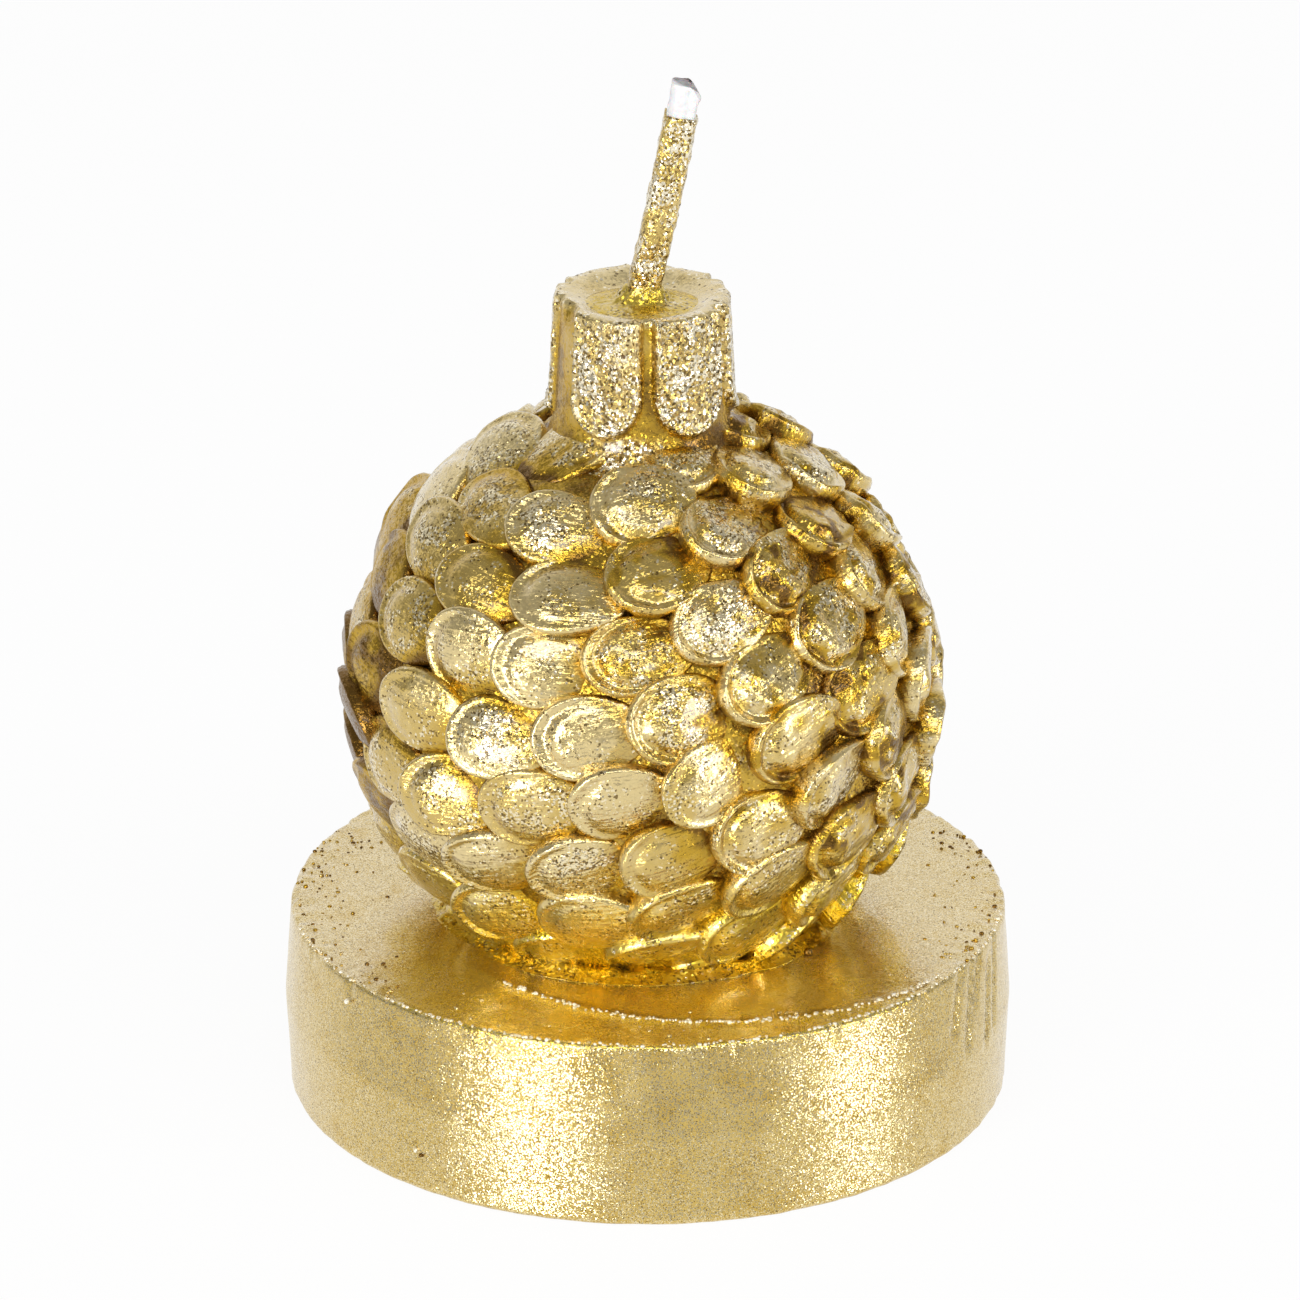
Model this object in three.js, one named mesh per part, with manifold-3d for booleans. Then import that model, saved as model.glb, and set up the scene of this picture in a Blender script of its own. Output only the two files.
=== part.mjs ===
// A small gold-lacquered wax candle: a ball of overlapping scales with a fluted neck, on a
// tealight-size disc. Millimetres, +Z up, origin at the centre of the disc's underside.
import * as THREE from 'three';
import { mergeVertices } from 'three/addons/utils/BufferGeometryUtils.js';
import Module from 'manifold-3d';

const wasm = await Module();
wasm.setup();

// Base disc
const discDiameter = 38;
const discTopDiameter = 37.3;
const discBottomDiameter = 37.6;
const discHeight = 10;
const discEdge = 0.45;
const rimRidgeDiameter = 30.4;
const rimRidgeWidth = 1.2;
const rimRidgeHeight = 0.15;
const moatDepth = 0.2;

// Ball, and the small pad it stands on
const coreDiameter = 29.6;
const footDiameter = 20.4;
const footPadHeight = 0.7;
const stackOffset = -0.3;

// Weld bead where the ball's foot was melted to the disc
const beadWidth = 1.3;
const beadHeight = 0.4;

// Scales: they circle an axis that leans to the front left, like feathers round a nest
const scaleWidth = 4.1;
const scaleTip = 2.5;
const scaleTail = 3.0;
const scaleTailWidth = 1.5;
const scaleLift = 0.85;
const scaleTailLift = -0.2;
const scaleDish = 0.28;
const scaleRoot = 0.8;
const scalePitch = 5.0;
const firstRowAngle = 19.5;
const rowAngle = 14.1;
const whorlLean = 18.5;
const whorlLeanDirection = 231;
const rowStarts = [-23, -14, -19, -10, -5, 2, 1, 14, 3, 18];

// Neck of the ornament, with six raised tongues
const neckTopDiameter = 9.0;
const neckBottomDiameter = 9.8;
const neckHeight = 7.7;
const neckEdge = 0.3;
const tongueCount = 6;
const tongueGap = 0.9;
const tongueRise = 0.4;
const tongueStop = 1.6;
const firstGrooveAngle = -56;
const craterDiameter = 6.6;
const craterDepth = 0.5;

// Wax pool round the foot of the wick
const sealRise = 0.9;
const sealTopDiameter = 3.0;
const sealShoulder = 0.35;

// Wick: primed cotton, gold coated except for the tip
const wickDiameter = 1.44;
const coatThickness = 0.11;
const wickExposed = 11.2;
const wickTipLength = 1.7;
const wickLean = 14;
const wickCurl = 0.45;
const wickBendLength = 0.5;

// Wick sustainer: a tinned plate with a crimped collar
const sustainerDiameter = 13;
const sustainerThickness = 0.3;
const sustainerRecess = 0.2;
const collarHeight = 3;
const collarWall = 0.3;

// Clearances
const seatGap = 0.3;
const wickGap = 0.2;
const crimpGap = 0.05;

// Facets
const discFacets = 64;
const ballFacets = 24;
const neckFacets = 36;
const smallFacets = 32;
const wickSides = 10;
const tipCorners = 4;
const tongueBends = 6;
const wickStep = 2;

// Places that follow from the sizes above
const reliefRadius = coreDiameter / 2 + scaleLift;
const ballZ = discHeight + Math.sqrt(reliefRadius ** 2 - (footDiameter / 2) ** 2);
const neckSocketRadius = neckBottomDiameter / 2 + seatGap;
const neckSeatZ = ballZ + Math.sqrt((coreDiameter / 2) ** 2 - neckSocketRadius ** 2);
const neckTopZ = neckSeatZ + neckHeight;
const craterZ = neckTopZ - craterDepth;
const sealTopZ = neckTopZ + sealRise;
const wickBottomZ = sustainerRecess;
const wickTipZ = neckTopZ + wickExposed;
const coatRadius = wickDiameter / 2 + crimpGap + coatThickness;
const coatTopZ = wickTipZ - wickTipLength;
const beadInnerRadius = footDiameter / 2 + seatGap;
const beadOuterRadius = beadInnerRadius + beadWidth;
const plateTopZ = sustainerRecess + sustainerThickness;
const collarRadius = wickDiameter / 2 + crimpGap + collarWall;
const collarTopZ = plateTopZ + collarHeight;

const degrees = THREE.MathUtils.degToRad;

// Finishes
const goldLacquer = { color: 0xc9a24a, roughness: 0.38, metalness: 0.9 };
const paleLacquer = { color: 0xd3b56c, roughness: 0.45, metalness: 0.85 };
const primedCotton = { color: 0xdad9d2, roughness: 0.5, metalness: 0.0 };
const tinnedSteel = { color: 0xb9bcbf, roughness: 0.35, metalness: 1.0 };

// A closed geometry as a solid that can be joined and cut
function solid(geometry) {
  const bare = geometry.clone();
  bare.deleteAttribute('normal');
  bare.deleteAttribute('uv');
  const merged = mergeVertices(bare, 1e-4);
  return new wasm.Manifold(new wasm.Mesh({
    numProp: 3,
    vertProperties: new Float32Array(merged.attributes.position.array),
    triVerts: new Uint32Array(merged.index.array),
  }));
}

// A joined or cut solid as a geometry again
function geometryOf(body) {
  const mesh = body.getMesh();
  const geometry = new THREE.BufferGeometry();
  geometry.setAttribute('position', new THREE.BufferAttribute(mesh.vertProperties, 3));
  geometry.setIndex(new THREE.BufferAttribute(mesh.triVerts, 1));
  geometry.computeVertexNormals();
  return geometry;
}

// A profile of [radius, z] points turned about a vertical axis at the given x
function turned(profile, facets, x = stackOffset) {
  const points = profile.map(([radius, z]) => new THREE.Vector2(radius, z));
  const geometry = new THREE.LatheGeometry(points, facets);
  geometry.rotateX(Math.PI / 2);
  geometry.translate(x, 0, 0);
  return geometry;
}

// A plain upright cylinder between two heights
function post(radius, bottom, top, facets) {
  return solid(turned([[0, bottom], [radius, bottom], [radius, top], [0, top]], facets));
}

// The wick's line: upright inside the candle, then leaning to the right and straightening
class WickLine extends THREE.Curve {
  constructor(bottom, top) {
    super();
    this.bottom = bottom;
    this.top = top;
  }

  getPoint(t) {
    const z = this.bottom + (this.top - this.bottom) * t;
    const free = Math.max(z - craterZ, 0);
    const settled = free - wickBendLength * (1 - Math.exp(-free / wickBendLength));
    const lean = Math.tan(degrees(wickLean)) * settled - degrees(wickCurl) * free ** 2 / 2;
    return new THREE.Vector3(stackOffset + lean, 0, z);
  }
}

// A round section swept along the wick's line
function sweptAlongWick(radius, bottom, top) {
  const corners = [];
  for (let side = 0; side < wickSides; side += 1) {
    const angle = 2 * Math.PI * side / wickSides;
    corners.push(new THREE.Vector2(radius * Math.cos(angle), radius * Math.sin(angle)));
  }
  return solid(new THREE.ExtrudeGeometry(new THREE.Shape(corners), {
    extrudePath: new WickLine(bottom, top),
    steps: Math.ceil((top - bottom) / wickStep),
  }));
}

function wickBore() {
  return sweptAlongWick(wickDiameter / 2 + wickGap, -seatGap, wickTipZ);
}

// The disc: a poured wax puck, with a moat and a low ridge left by the mould on top,
// the wick's bore, and a recess below for the sustainer
function baseDisc() {
  const radius = discDiameter / 2;
  const topRadius = discTopDiameter / 2;
  const bottomRadius = discBottomDiameter / 2;
  const ridgeRadius = rimRidgeDiameter / 2;
  const moatInner = beadOuterRadius + seatGap;
  const body = solid(turned([
    [0, 0],
    [bottomRadius - discEdge, 0],
    [bottomRadius, discEdge],
    [radius, discHeight / 2],
    [topRadius, discHeight - discEdge],
    [topRadius - discEdge, discHeight],
    [ridgeRadius + rimRidgeWidth / 2, discHeight],
    [ridgeRadius, discHeight + rimRidgeHeight],
    [ridgeRadius - rimRidgeWidth / 2, discHeight - moatDepth],
    [moatInner + moatDepth, discHeight - moatDepth],
    [moatInner, discHeight],
    [0, discHeight],
  ], discFacets, 0));
  const plateRoom = post(sustainerDiameter / 2 + seatGap, -seatGap, plateTopZ, smallFacets);
  const collarRoom = post(collarRadius + seatGap, 0, collarTopZ + seatGap, smallFacets);
  return body.subtract(plateRoom).subtract(collarRoom).subtract(wickBore());
}

// The bead: a small fillet of wax under the ball's overhang, all round its foot
function footBead() {
  const crestZ = discHeight + beadHeight;
  const crestRadius = Math.sqrt(reliefRadius ** 2 - (ballZ - crestZ) ** 2) + seatGap;
  return turned([
    [beadInnerRadius, discHeight],
    [beadOuterRadius, discHeight],
    [(beadOuterRadius + crestRadius) / 2, (discHeight + crestZ) / 2],
    [crestRadius, crestZ],
    [beadInnerRadius, discHeight],
  ], neckFacets);
}

// Corners of one scale in its own plane: u runs to the rounded tip, v across it
function scaleOutline() {
  const corners = [];
  for (let corner = 0; corner <= tipCorners; corner += 1) {
    const angle = Math.PI * (corner / tipCorners - 0.5);
    corners.push({
      u: scaleTip * Math.cos(angle),
      v: scaleWidth / 2 * Math.sin(angle),
      lift: scaleLift,
    });
  }
  corners.push({ u: -scaleTail, v: scaleTailWidth / 2, lift: scaleTailLift });
  corners.push({ u: -scaleTail, v: -scaleTailWidth / 2, lift: scaleTailLift });
  return corners;
}

// One scale as a closed wedge on the ball: raised round its tip, dished in the middle,
// and rooted under the ball's surface all along
function scaleSolid(outward, tipward) {
  const across = new THREE.Vector3().crossVectors(outward, tipward);
  const onBall = (u, v, lift) => outward.clone()
    .addScaledVector(tipward, u / reliefRadius)
    .addScaledVector(across, v / reliefRadius)
    .normalize()
    .multiplyScalar(coreDiameter / 2 + lift);
  const outline = scaleOutline();
  const count = outline.length;
  const points = outline.map(({ u, v, lift }) => onBall(u, v, lift));
  for (const { u, v } of outline) {
    points.push(onBall(u, v, -scaleRoot));
  }
  points.push(onBall(0, 0, scaleLift - scaleDish));
  points.push(onBall(0, 0, -scaleRoot));
  const triangles = [];
  for (let corner = 0; corner < count; corner += 1) {
    const next = (corner + 1) % count;
    triangles.push(corner, next, 2 * count);
    triangles.push(count + next, count + corner, 2 * count + 1);
    triangles.push(corner, count + corner, next);
    triangles.push(next, count + corner, count + next);
  }
  const geometry = new THREE.BufferGeometry().setFromPoints(points);
  geometry.setIndex(triangles);
  geometry.translate(stackOffset, 0, ballZ);
  return solid(geometry);
}

// Every scale, row by row round the leaning axis
function scaleSolids() {
  const axis = new THREE.Vector3(Math.sin(degrees(whorlLean)), 0, Math.cos(degrees(whorlLean)));
  axis.applyAxisAngle(new THREE.Vector3(0, 0, 1), degrees(whorlLeanDirection));
  const front = new THREE.Vector3(0, -1, 0).addScaledVector(axis, axis.y).normalize();
  const side = new THREE.Vector3().crossVectors(axis, front);
  const scales = [];
  rowStarts.forEach((start, row) => {
    const polar = degrees(firstRowAngle + rowAngle * row);
    const round = 2 * Math.PI * reliefRadius * Math.sin(polar);
    const count = Math.round(round / scalePitch);
    for (let index = 0; index < count; index += 1) {
      const azimuth = degrees(start) + 2 * Math.PI * index / count;
      const outward = new THREE.Vector3()
        .addScaledVector(axis, Math.cos(polar))
        .addScaledVector(front, Math.sin(polar) * Math.cos(azimuth))
        .addScaledVector(side, Math.sin(polar) * Math.sin(azimuth));
      const tipward = new THREE.Vector3().crossVectors(outward, axis).normalize();
      scales.push(scaleSolid(outward, tipward));
    }
  });
  return scales;
}

// The ball: a plain core with its scales joined on, cut flat where it stands on the disc,
// with a socket for the neck and the wick's bore
function bauble() {
  const core = new THREE.SphereGeometry(coreDiameter / 2, ballFacets, ballFacets / 2);
  core.rotateX(Math.PI / 2);
  core.translate(stackOffset, 0, ballZ);
  const ball = scaleSolids().reduce((sum, scale) => sum.add(scale), solid(core));
  const pad = post(footDiameter / 2, discHeight, discHeight + footPadHeight, neckFacets);
  const below = post(discDiameter, discHeight - coreDiameter, discHeight, smallFacets);
  const socket = post(neckSocketRadius, neckSeatZ, neckTopZ, neckFacets);
  return ball.add(pad).subtract(below).subtract(socket).subtract(wickBore());
}

// One tongue as an upright slab with a rounded lower end, across the neck's wall
function tongueSlab(index) {
  const halfWidth = Math.PI * neckTopDiameter / tongueCount / 2 - tongueGap / 2;
  const bottom = neckSeatZ + tongueStop + halfWidth;
  const outline = new THREE.Shape();
  outline.moveTo(-halfWidth, neckTopZ + seatGap);
  outline.lineTo(-halfWidth, bottom);
  outline.absarc(0, bottom, halfWidth, Math.PI, 2 * Math.PI, false);
  outline.lineTo(halfWidth, neckTopZ + seatGap);
  const slab = new THREE.ExtrudeGeometry(outline, {
    depth: neckBottomDiameter,
    curveSegments: tongueBends,
    bevelEnabled: false,
  });
  slab.translate(0, 0, neckTopDiameter / 4);
  slab.rotateX(Math.PI / 2);
  slab.rotateZ(degrees(firstGrooveAngle + 180 / tongueCount) + 2 * Math.PI * index / tongueCount);
  slab.translate(stackOffset, 0, 0);
  return solid(slab);
}

// The neck: six raised tongues on a tapered post, with a shallow crater on top
function neck() {
  const outer = solid(turned([
    [0, neckSeatZ],
    [neckBottomDiameter / 2, neckSeatZ],
    [neckTopDiameter / 2, neckTopZ - neckHeight / 2],
    [neckTopDiameter / 2, neckTopZ - neckEdge],
    [neckTopDiameter / 2 - neckEdge, neckTopZ],
    [0, neckTopZ],
  ], neckFacets));
  const inner = solid(turned([
    [0, neckSeatZ],
    [neckBottomDiameter / 2, neckSeatZ],
    [neckTopDiameter / 2 - tongueRise, neckSeatZ + tongueStop],
    [neckTopDiameter / 2 - tongueRise, neckTopZ],
    [0, neckTopZ],
  ], neckFacets));
  let body = inner;
  for (let index = 0; index < tongueCount; index += 1) {
    body = body.add(outer.intersect(tongueSlab(index)));
  }
  const crater = post(craterDiameter / 2, craterZ, neckTopZ + seatGap, smallFacets);
  return body.subtract(crater).subtract(wickBore());
}

// The pool that seals the wick: a low mound that has run out over the crater's floor
function neckSeal() {
  const foot = craterDiameter / 2 - seatGap;
  const body = solid(turned([
    [0, craterZ],
    [foot, craterZ],
    [foot, craterZ + sealShoulder],
    [sealTopDiameter / 2, (neckTopZ + sealTopZ) / 2],
    [sealTopDiameter / 2 - sealShoulder, sealTopZ],
    [0, sealTopZ],
  ], smallFacets));
  return body.subtract(wickBore());
}

// The wick: thin where the coat covers it, and as thick as the coat at its bare waxed tip
function wick() {
  const tipMiddleZ = (coatTopZ + wickTipZ) / 2;
  const covered = sweptAlongWick(wickDiameter / 2, wickBottomZ, tipMiddleZ);
  const tip = sweptAlongWick(coatRadius, coatTopZ + seatGap, wickTipZ);
  return covered.add(tip);
}

function wickCoat() {
  const outer = sweptAlongWick(coatRadius, sealTopZ, coatTopZ);
  const inner = sweptAlongWick(wickDiameter / 2 + crimpGap, sealTopZ - seatGap, coatTopZ + seatGap);
  return outer.subtract(inner);
}

function wickSustainer() {
  const hole = wickDiameter / 2 + crimpGap;
  const plateRadius = sustainerDiameter / 2;
  return turned([
    [hole, sustainerRecess],
    [plateRadius, sustainerRecess],
    [plateRadius, plateTopZ],
    [collarRadius + collarWall, plateTopZ],
    [collarRadius, plateTopZ + collarWall],
    [collarRadius, collarTopZ],
    [hole, collarTopZ],
    [hole, sustainerRecess],
  ], smallFacets);
}

function piece(name, geometry, finish) {
  const mesh = new THREE.Mesh(geometry, new THREE.MeshStandardMaterial(finish));
  mesh.name = name;
  return mesh;
}

const candle = new THREE.Group();
candle.add(piece('base_disc', geometryOf(baseDisc()), goldLacquer));
candle.add(piece('foot_bead', footBead(), goldLacquer));
candle.add(piece('bauble', geometryOf(bauble()), goldLacquer));
candle.add(piece('bauble_neck', geometryOf(neck()), paleLacquer));
candle.add(piece('neck_seal', geometryOf(neckSeal()), goldLacquer));
candle.add(piece('wick', geometryOf(wick()), primedCotton));
candle.add(piece('wick_coat', geometryOf(wickCoat()), goldLacquer));
candle.add(piece('wick_sustainer', wickSustainer(), tinnedSteel));

export default candle;
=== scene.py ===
# %% [markdown]
# # A gold wax ball candle
# The candle is a ball of overlapping scales with a fluted neck, standing on a poured disc.
# All of it is under one coat of gold lacquer, except for the wick's tip and the plate below.
# The construction comes from a fixed frame, in metres, with Z up. Each step below builds one
# piece of the outside at that size, and gives it its finish.

# %% Load the frame
import math
import random

import bmesh
import bpy
from mathutils import Matrix, Vector, noise


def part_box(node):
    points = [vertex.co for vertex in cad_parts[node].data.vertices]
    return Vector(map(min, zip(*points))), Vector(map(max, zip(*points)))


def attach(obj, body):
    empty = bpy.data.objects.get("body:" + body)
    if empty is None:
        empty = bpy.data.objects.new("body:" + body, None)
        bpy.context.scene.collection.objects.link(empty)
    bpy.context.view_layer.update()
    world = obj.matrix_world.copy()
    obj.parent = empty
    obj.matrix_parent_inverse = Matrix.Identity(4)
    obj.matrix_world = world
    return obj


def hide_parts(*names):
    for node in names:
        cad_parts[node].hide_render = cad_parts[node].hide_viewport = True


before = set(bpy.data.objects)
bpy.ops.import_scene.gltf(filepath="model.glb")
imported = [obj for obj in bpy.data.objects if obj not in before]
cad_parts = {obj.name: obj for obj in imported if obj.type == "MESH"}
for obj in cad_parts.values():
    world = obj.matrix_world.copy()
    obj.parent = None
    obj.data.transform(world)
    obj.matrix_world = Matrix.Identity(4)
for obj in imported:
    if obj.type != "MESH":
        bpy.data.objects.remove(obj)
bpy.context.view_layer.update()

MM = 0.001


def placed(name, data):
    """A new object in the scene."""
    made = bpy.data.objects.new(name, data)
    bpy.context.scene.collection.objects.link(made)
    return made


def mesh_of(bm, name):
    """A new mesh from a bmesh, which is freed."""
    mesh = bpy.data.meshes.new(name)
    bm.to_mesh(mesh)
    bm.free()
    return mesh


# %% [markdown]
# ## The sizes that every piece shares
# The disc's and the neck's main sizes are read from the frame, and the ball's are set here to
# fit it. The stack of ball, neck and wick stands a little left of the disc's centre.

# %% Shared sizes
disc_low, disc_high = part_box("base_disc")
ball_low, ball_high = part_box("bauble")
neck_low, neck_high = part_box("bauble_neck")
wick_low, wick_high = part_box("wick")
coat_low, coat_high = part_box("wick_coat")

RIDGE_HEIGHT = 0.15 * MM
SUNK = 0.02 * MM
DISC_RADIUS = disc_high.x
DISC_TOP = disc_high.z - RIDGE_HEIGHT
STACK_X = (neck_low.x + neck_high.x) / 2
CORE_RADIUS = 14.8 * MM
SCALE_LIFT = 0.85 * MM
FOOT_RADIUS = 10.2 * MM
RELIEF_RADIUS = CORE_RADIUS + SCALE_LIFT
BALL_Z = DISC_TOP + math.sqrt(RELIEF_RADIUS ** 2 - FOOT_RADIUS ** 2)
BALL_CENTRE = Vector((STACK_X, 0, BALL_Z))
NECK_TOP = neck_high.z
for name, low, high in (("disc", disc_low, disc_high), ("ball", ball_low, ball_high),
                        ("wick", wick_low, wick_high), ("coat", coat_low, coat_high)):
    print(name, "in mm:", [round(side / MM, 2) for side in high - low])

# %% [markdown]
# ## Camera
# A long lens from well back keeps the disc's sides nearly upright. The camera looks down by
# about twenty-three degrees, so the disc's top and the crater of the neck both show.

# %% Camera
CAMERA_TILT = math.radians(22.64)
CAMERA_DISTANCE = 407.8 * MM
CAMERA_AIM = Vector((0.119 * MM, 0, 23.795 * MM))
SENSOR_WIDTH = 36
FOCAL_LENGTH = 218.6

camera_data = bpy.data.cameras.new("camera")
camera_data.sensor_width = SENSOR_WIDTH
camera_data.lens = FOCAL_LENGTH
camera = placed("camera", camera_data)
line_of_sight = Vector((0, math.cos(CAMERA_TILT), -math.sin(CAMERA_TILT)))
camera.location = CAMERA_AIM - line_of_sight * CAMERA_DISTANCE
camera.rotation_euler = (math.pi / 2 - CAMERA_TILT, 0, 0)
bpy.context.scene.camera = camera
print("camera at, in mm:", [round(value / MM, 1) for value in camera.location])

# %% [markdown]
# ## Light
# Two soft lamps stand low at the sides, because the lacquer's flakes only sparkle where they
# turn a lamp towards the camera. A long strip hangs in front, and draws a bright line on
# each rim and ridge that faces it.

# %% Lamps
AIM = Vector((0, 0, 20 * MM))
LAMP_DISTANCE = 0.9
# Each lamp's azimuth and elevation in degrees, its width and height, and its radiance
LAMPS = {"left_lamp": (-36, 7, 0.36, 0.34, 12.0),
         "right_lamp": (65, 9, 0.28, 0.34, 8.5),
         "front_strip": (4, 46, 1.40, 0.19, 5.8)}


def soft_lamp(name, azimuth, elevation, width, height, radiance):
    """A rectangular lamp that faces the candle; azimuth 0 is in front, and 90 is at the right."""
    turn = math.radians(azimuth)
    rise = math.radians(elevation)
    away = Vector((math.sin(turn) * math.cos(rise), -math.cos(turn) * math.cos(rise), math.sin(rise)))
    data = bpy.data.lights.new(name, "AREA")
    data.shape = "RECTANGLE"
    data.size = width
    data.size_y = height
    data.energy = radiance * math.pi * width * height
    lamp = placed(name, data)
    lamp.location = AIM + away * LAMP_DISTANCE
    lamp.rotation_euler = away.to_track_quat("Z", "Y").to_euler()


for name, facts in LAMPS.items():
    soft_lamp(name, *facts)
print("lamps:", list(LAMPS))

# %% [markdown]
# ## Nodes
# The room and every finish are built from nodes. Each input of a node takes a number or a link
# from another node, so one helper fills both kinds, and the steps below read like formulas.

# %% Node helpers


def fill(tree, node, inputs):
    """Fills inputs of a node, by name or number, each with a constant or a link."""
    for key, value in inputs.items():
        if isinstance(value, bpy.types.NodeSocket):
            tree.links.new(value, node.inputs[key])
        else:
            node.inputs[key].default_value = value


def add_node(tree, kind, inputs=None, **settings):
    """A new shader node of some kind, with its settings and some of its inputs."""
    node = tree.nodes.new("ShaderNode" + kind)
    for setting, value in settings.items():
        setattr(node, setting, value)
    fill(tree, node, inputs or {})
    return node


def math_node(tree, operation, *values):
    """What a Math node makes of its values, each a link or a number."""
    return add_node(tree, "Math", dict(enumerate(values)), operation=operation).outputs[0]


def times(tree, first, second):
    """The product of two values, each a link or a number."""
    return math_node(tree, "MULTIPLY", first, second)


def vector_node(tree, operation, *values, factor=None):
    """What a Vector Math node makes of its vectors, and of a factor where it scales one."""
    inputs = dict(enumerate(values))
    if factor is not None:
        inputs["Scale"] = factor
    return add_node(tree, "VectorMath", inputs, operation=operation).outputs[0]


def ranged(tree, value, low, high, to_low=0.0, to_high=1.0):
    """A value brought from one range to another, with smooth ends."""
    inputs = {"Value": value, "From Min": low, "From Max": high, "To Min": to_low, "To Max": to_high}
    return add_node(tree, "MapRange", inputs, interpolation_type="SMOOTHSTEP").outputs["Result"]


def colour_mix(tree, factor, first, second):
    """A mix of two colours; each of the three is a link or a constant."""
    return add_node(tree, "Mix", {0: factor, 6: first, 7: second}, data_type="RGBA").outputs[2]


def noise_node(tree, place, scale, detail, roughness=0.5):
    """Smooth noise about one half, with a number of features per metre."""
    inputs = {"Vector": place, "Scale": scale, "Detail": detail, "Roughness": roughness}
    return add_node(tree, "TexNoise", inputs).outputs[0]


def attribute(tree, name, output="Fac"):
    """An attribute of the mesh: its number, or its vector."""
    return add_node(tree, "Attribute", attribute_name=name).outputs[output]


# %% [markdown]
# ## Room and floor
# Metal shows what is round it, so the room matters too: it is white behind the candle and on
# the floor, as the background is, and dimmer in front, as a studio is behind its camera.
# Diffuse rays meet a dimmer room, so that its white doesn't flood the wax.

# %% Room
WHITE = (1, 1, 1, 1)
ROOM_FILL = 0.45
ROOM_FRONT = 0.28
DUSK = (0.1, 0.85)


def shown_rays(tree):
    """One for the rays that see the background: camera, glossy and transmission rays."""
    path = add_node(tree, "LightPath").outputs
    seen_or_mirrored = math_node(tree, "MAXIMUM", path["Is Camera Ray"], path["Is Glossy Ray"])
    return math_node(tree, "MAXIMUM", seen_or_mirrored, path["Is Transmission Ray"])


def put_out(tree, kind, share, first, second):
    """Mixes two shaders, and ends the tree with the mix."""
    mixed = add_node(tree, "MixShader", {0: share, 1: first, 2: second})
    add_node(tree, kind, {0: mixed.outputs[0]})


world = bpy.data.worlds.new("white_room")
bpy.context.scene.world = world
world.use_nodes = True
tree = world.node_tree
tree.nodes.clear()
toward = add_node(tree, "TexCoord").outputs["Generated"]
behind = add_node(tree, "SeparateXYZ", {0: toward}).outputs["Y"]
camera_ray = add_node(tree, "LightPath").outputs["Is Camera Ray"]
level = math_node(tree, "MAXIMUM", ranged(tree, behind, *DUSK, ROOM_FRONT, 1.0), camera_ray)
lit = add_node(tree, "Background", {0: WHITE, 1: ROOM_FILL}).outputs[0]
seen = add_node(tree, "Background", {0: WHITE, 1: level}).outputs[0]
put_out(tree, "OutputWorld", shown_rays(tree), lit, seen)
bpy.context.scene.view_settings.view_transform = "Standard"
print("room: fill", ROOM_FILL, "and in front", ROOM_FRONT)

# %% Floor
FLOOR_SIZE = 6.0
FLOOR_WHITE = (0.93, 0.93, 0.93, 1)
FLOOR_GLOW = 0.93

floor_bm = bmesh.new()
bmesh.ops.create_grid(floor_bm, x_segments=1, y_segments=1, size=FLOOR_SIZE / 2)
floor_mesh = mesh_of(floor_bm, "floor")
floor = placed("floor", floor_mesh)

floor_paint = bpy.data.materials.new("floor_paint")
floor_paint.use_nodes = True
tree = floor_paint.node_tree
tree.nodes.clear()
matte = add_node(tree, "BsdfDiffuse", {0: FLOOR_WHITE}).outputs[0]
glow = add_node(tree, "Emission", {0: WHITE, 1: 1.0}).outputs[0]
put_out(tree, "OutputMaterial", times(tree, shown_rays(tree), FLOOR_GLOW), matte, glow)
floor_mesh.materials.append(floor_paint)
print("floor:", FLOOR_SIZE, "m across")

# %% [markdown]
# ## Helpers for turned and cast shapes
# Most of the candle is turned: a profile swept once round an upright axis. The hand of the
# maker shows in what happens to that shape afterwards, so each piece then moves its
# vertices a little with smooth noise, which is the same on every run. The same loop paints
# them with the levels that the finish reads.

# %% Turned shapes


def spun(profile, steps, closed=False):
    """A bmesh of a profile of (radius, z) points turned round the Z axis."""
    bm = bmesh.new()
    verts = [bm.verts.new((radius, 0, z)) for radius, z in profile]
    ends = verts[1:] + verts[:1] if closed else verts[1:]
    edges = [bm.edges.new(pair) for pair in zip(verts, ends)]
    bmesh.ops.spin(bm, geom=verts + edges, axis=(0, 0, 1), cent=(0, 0, 0),
                   angle=math.tau, steps=steps, use_merge=True)
    bmesh.ops.remove_doubles(bm, verts=bm.verts[:], dist=1e-7)
    bmesh.ops.recalc_face_normals(bm, faces=bm.faces[:])
    return bm


def between(start, end, count):
    """Evenly spaced points from start up to, but without, end."""
    start, end = Vector(start), Vector(end)
    return [tuple(start.lerp(end, index / count)) for index in range(count)]


def rounded(centre, radius, from_angle, to_angle, count):
    """Points on a round corner of a profile, angles in degrees from straight out."""
    points = []
    for index in range(count):
        angle = math.radians(from_angle + (to_angle - from_angle) * index / count)
        points.append((centre[0] + radius * math.cos(angle), centre[1] + radius * math.sin(angle)))
    return points


# %% Smooth steps, noise and places


def ease(value, low, high):
    """Zero below low, one above high, and smooth between them."""
    share = min(max((value - low) / (high - low), 0), 1)
    return share * share * (3 - 2 * share)


def hump(value, centre, width):
    """A smooth bump that is one at its centre."""
    return math.exp(-((value - centre) / width) ** 2)


def ripple(point, grain, shift=0.0):
    """Smooth noise from about minus one to one, with features of the grain's size."""
    return noise.noise(Vector(point) / grain + Vector((shift, shift, shift)))


def azimuth_of(x, y):
    """Degrees round the candle: 0 in front, 90 at the right."""
    return math.degrees(math.atan2(x, -y))


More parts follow.
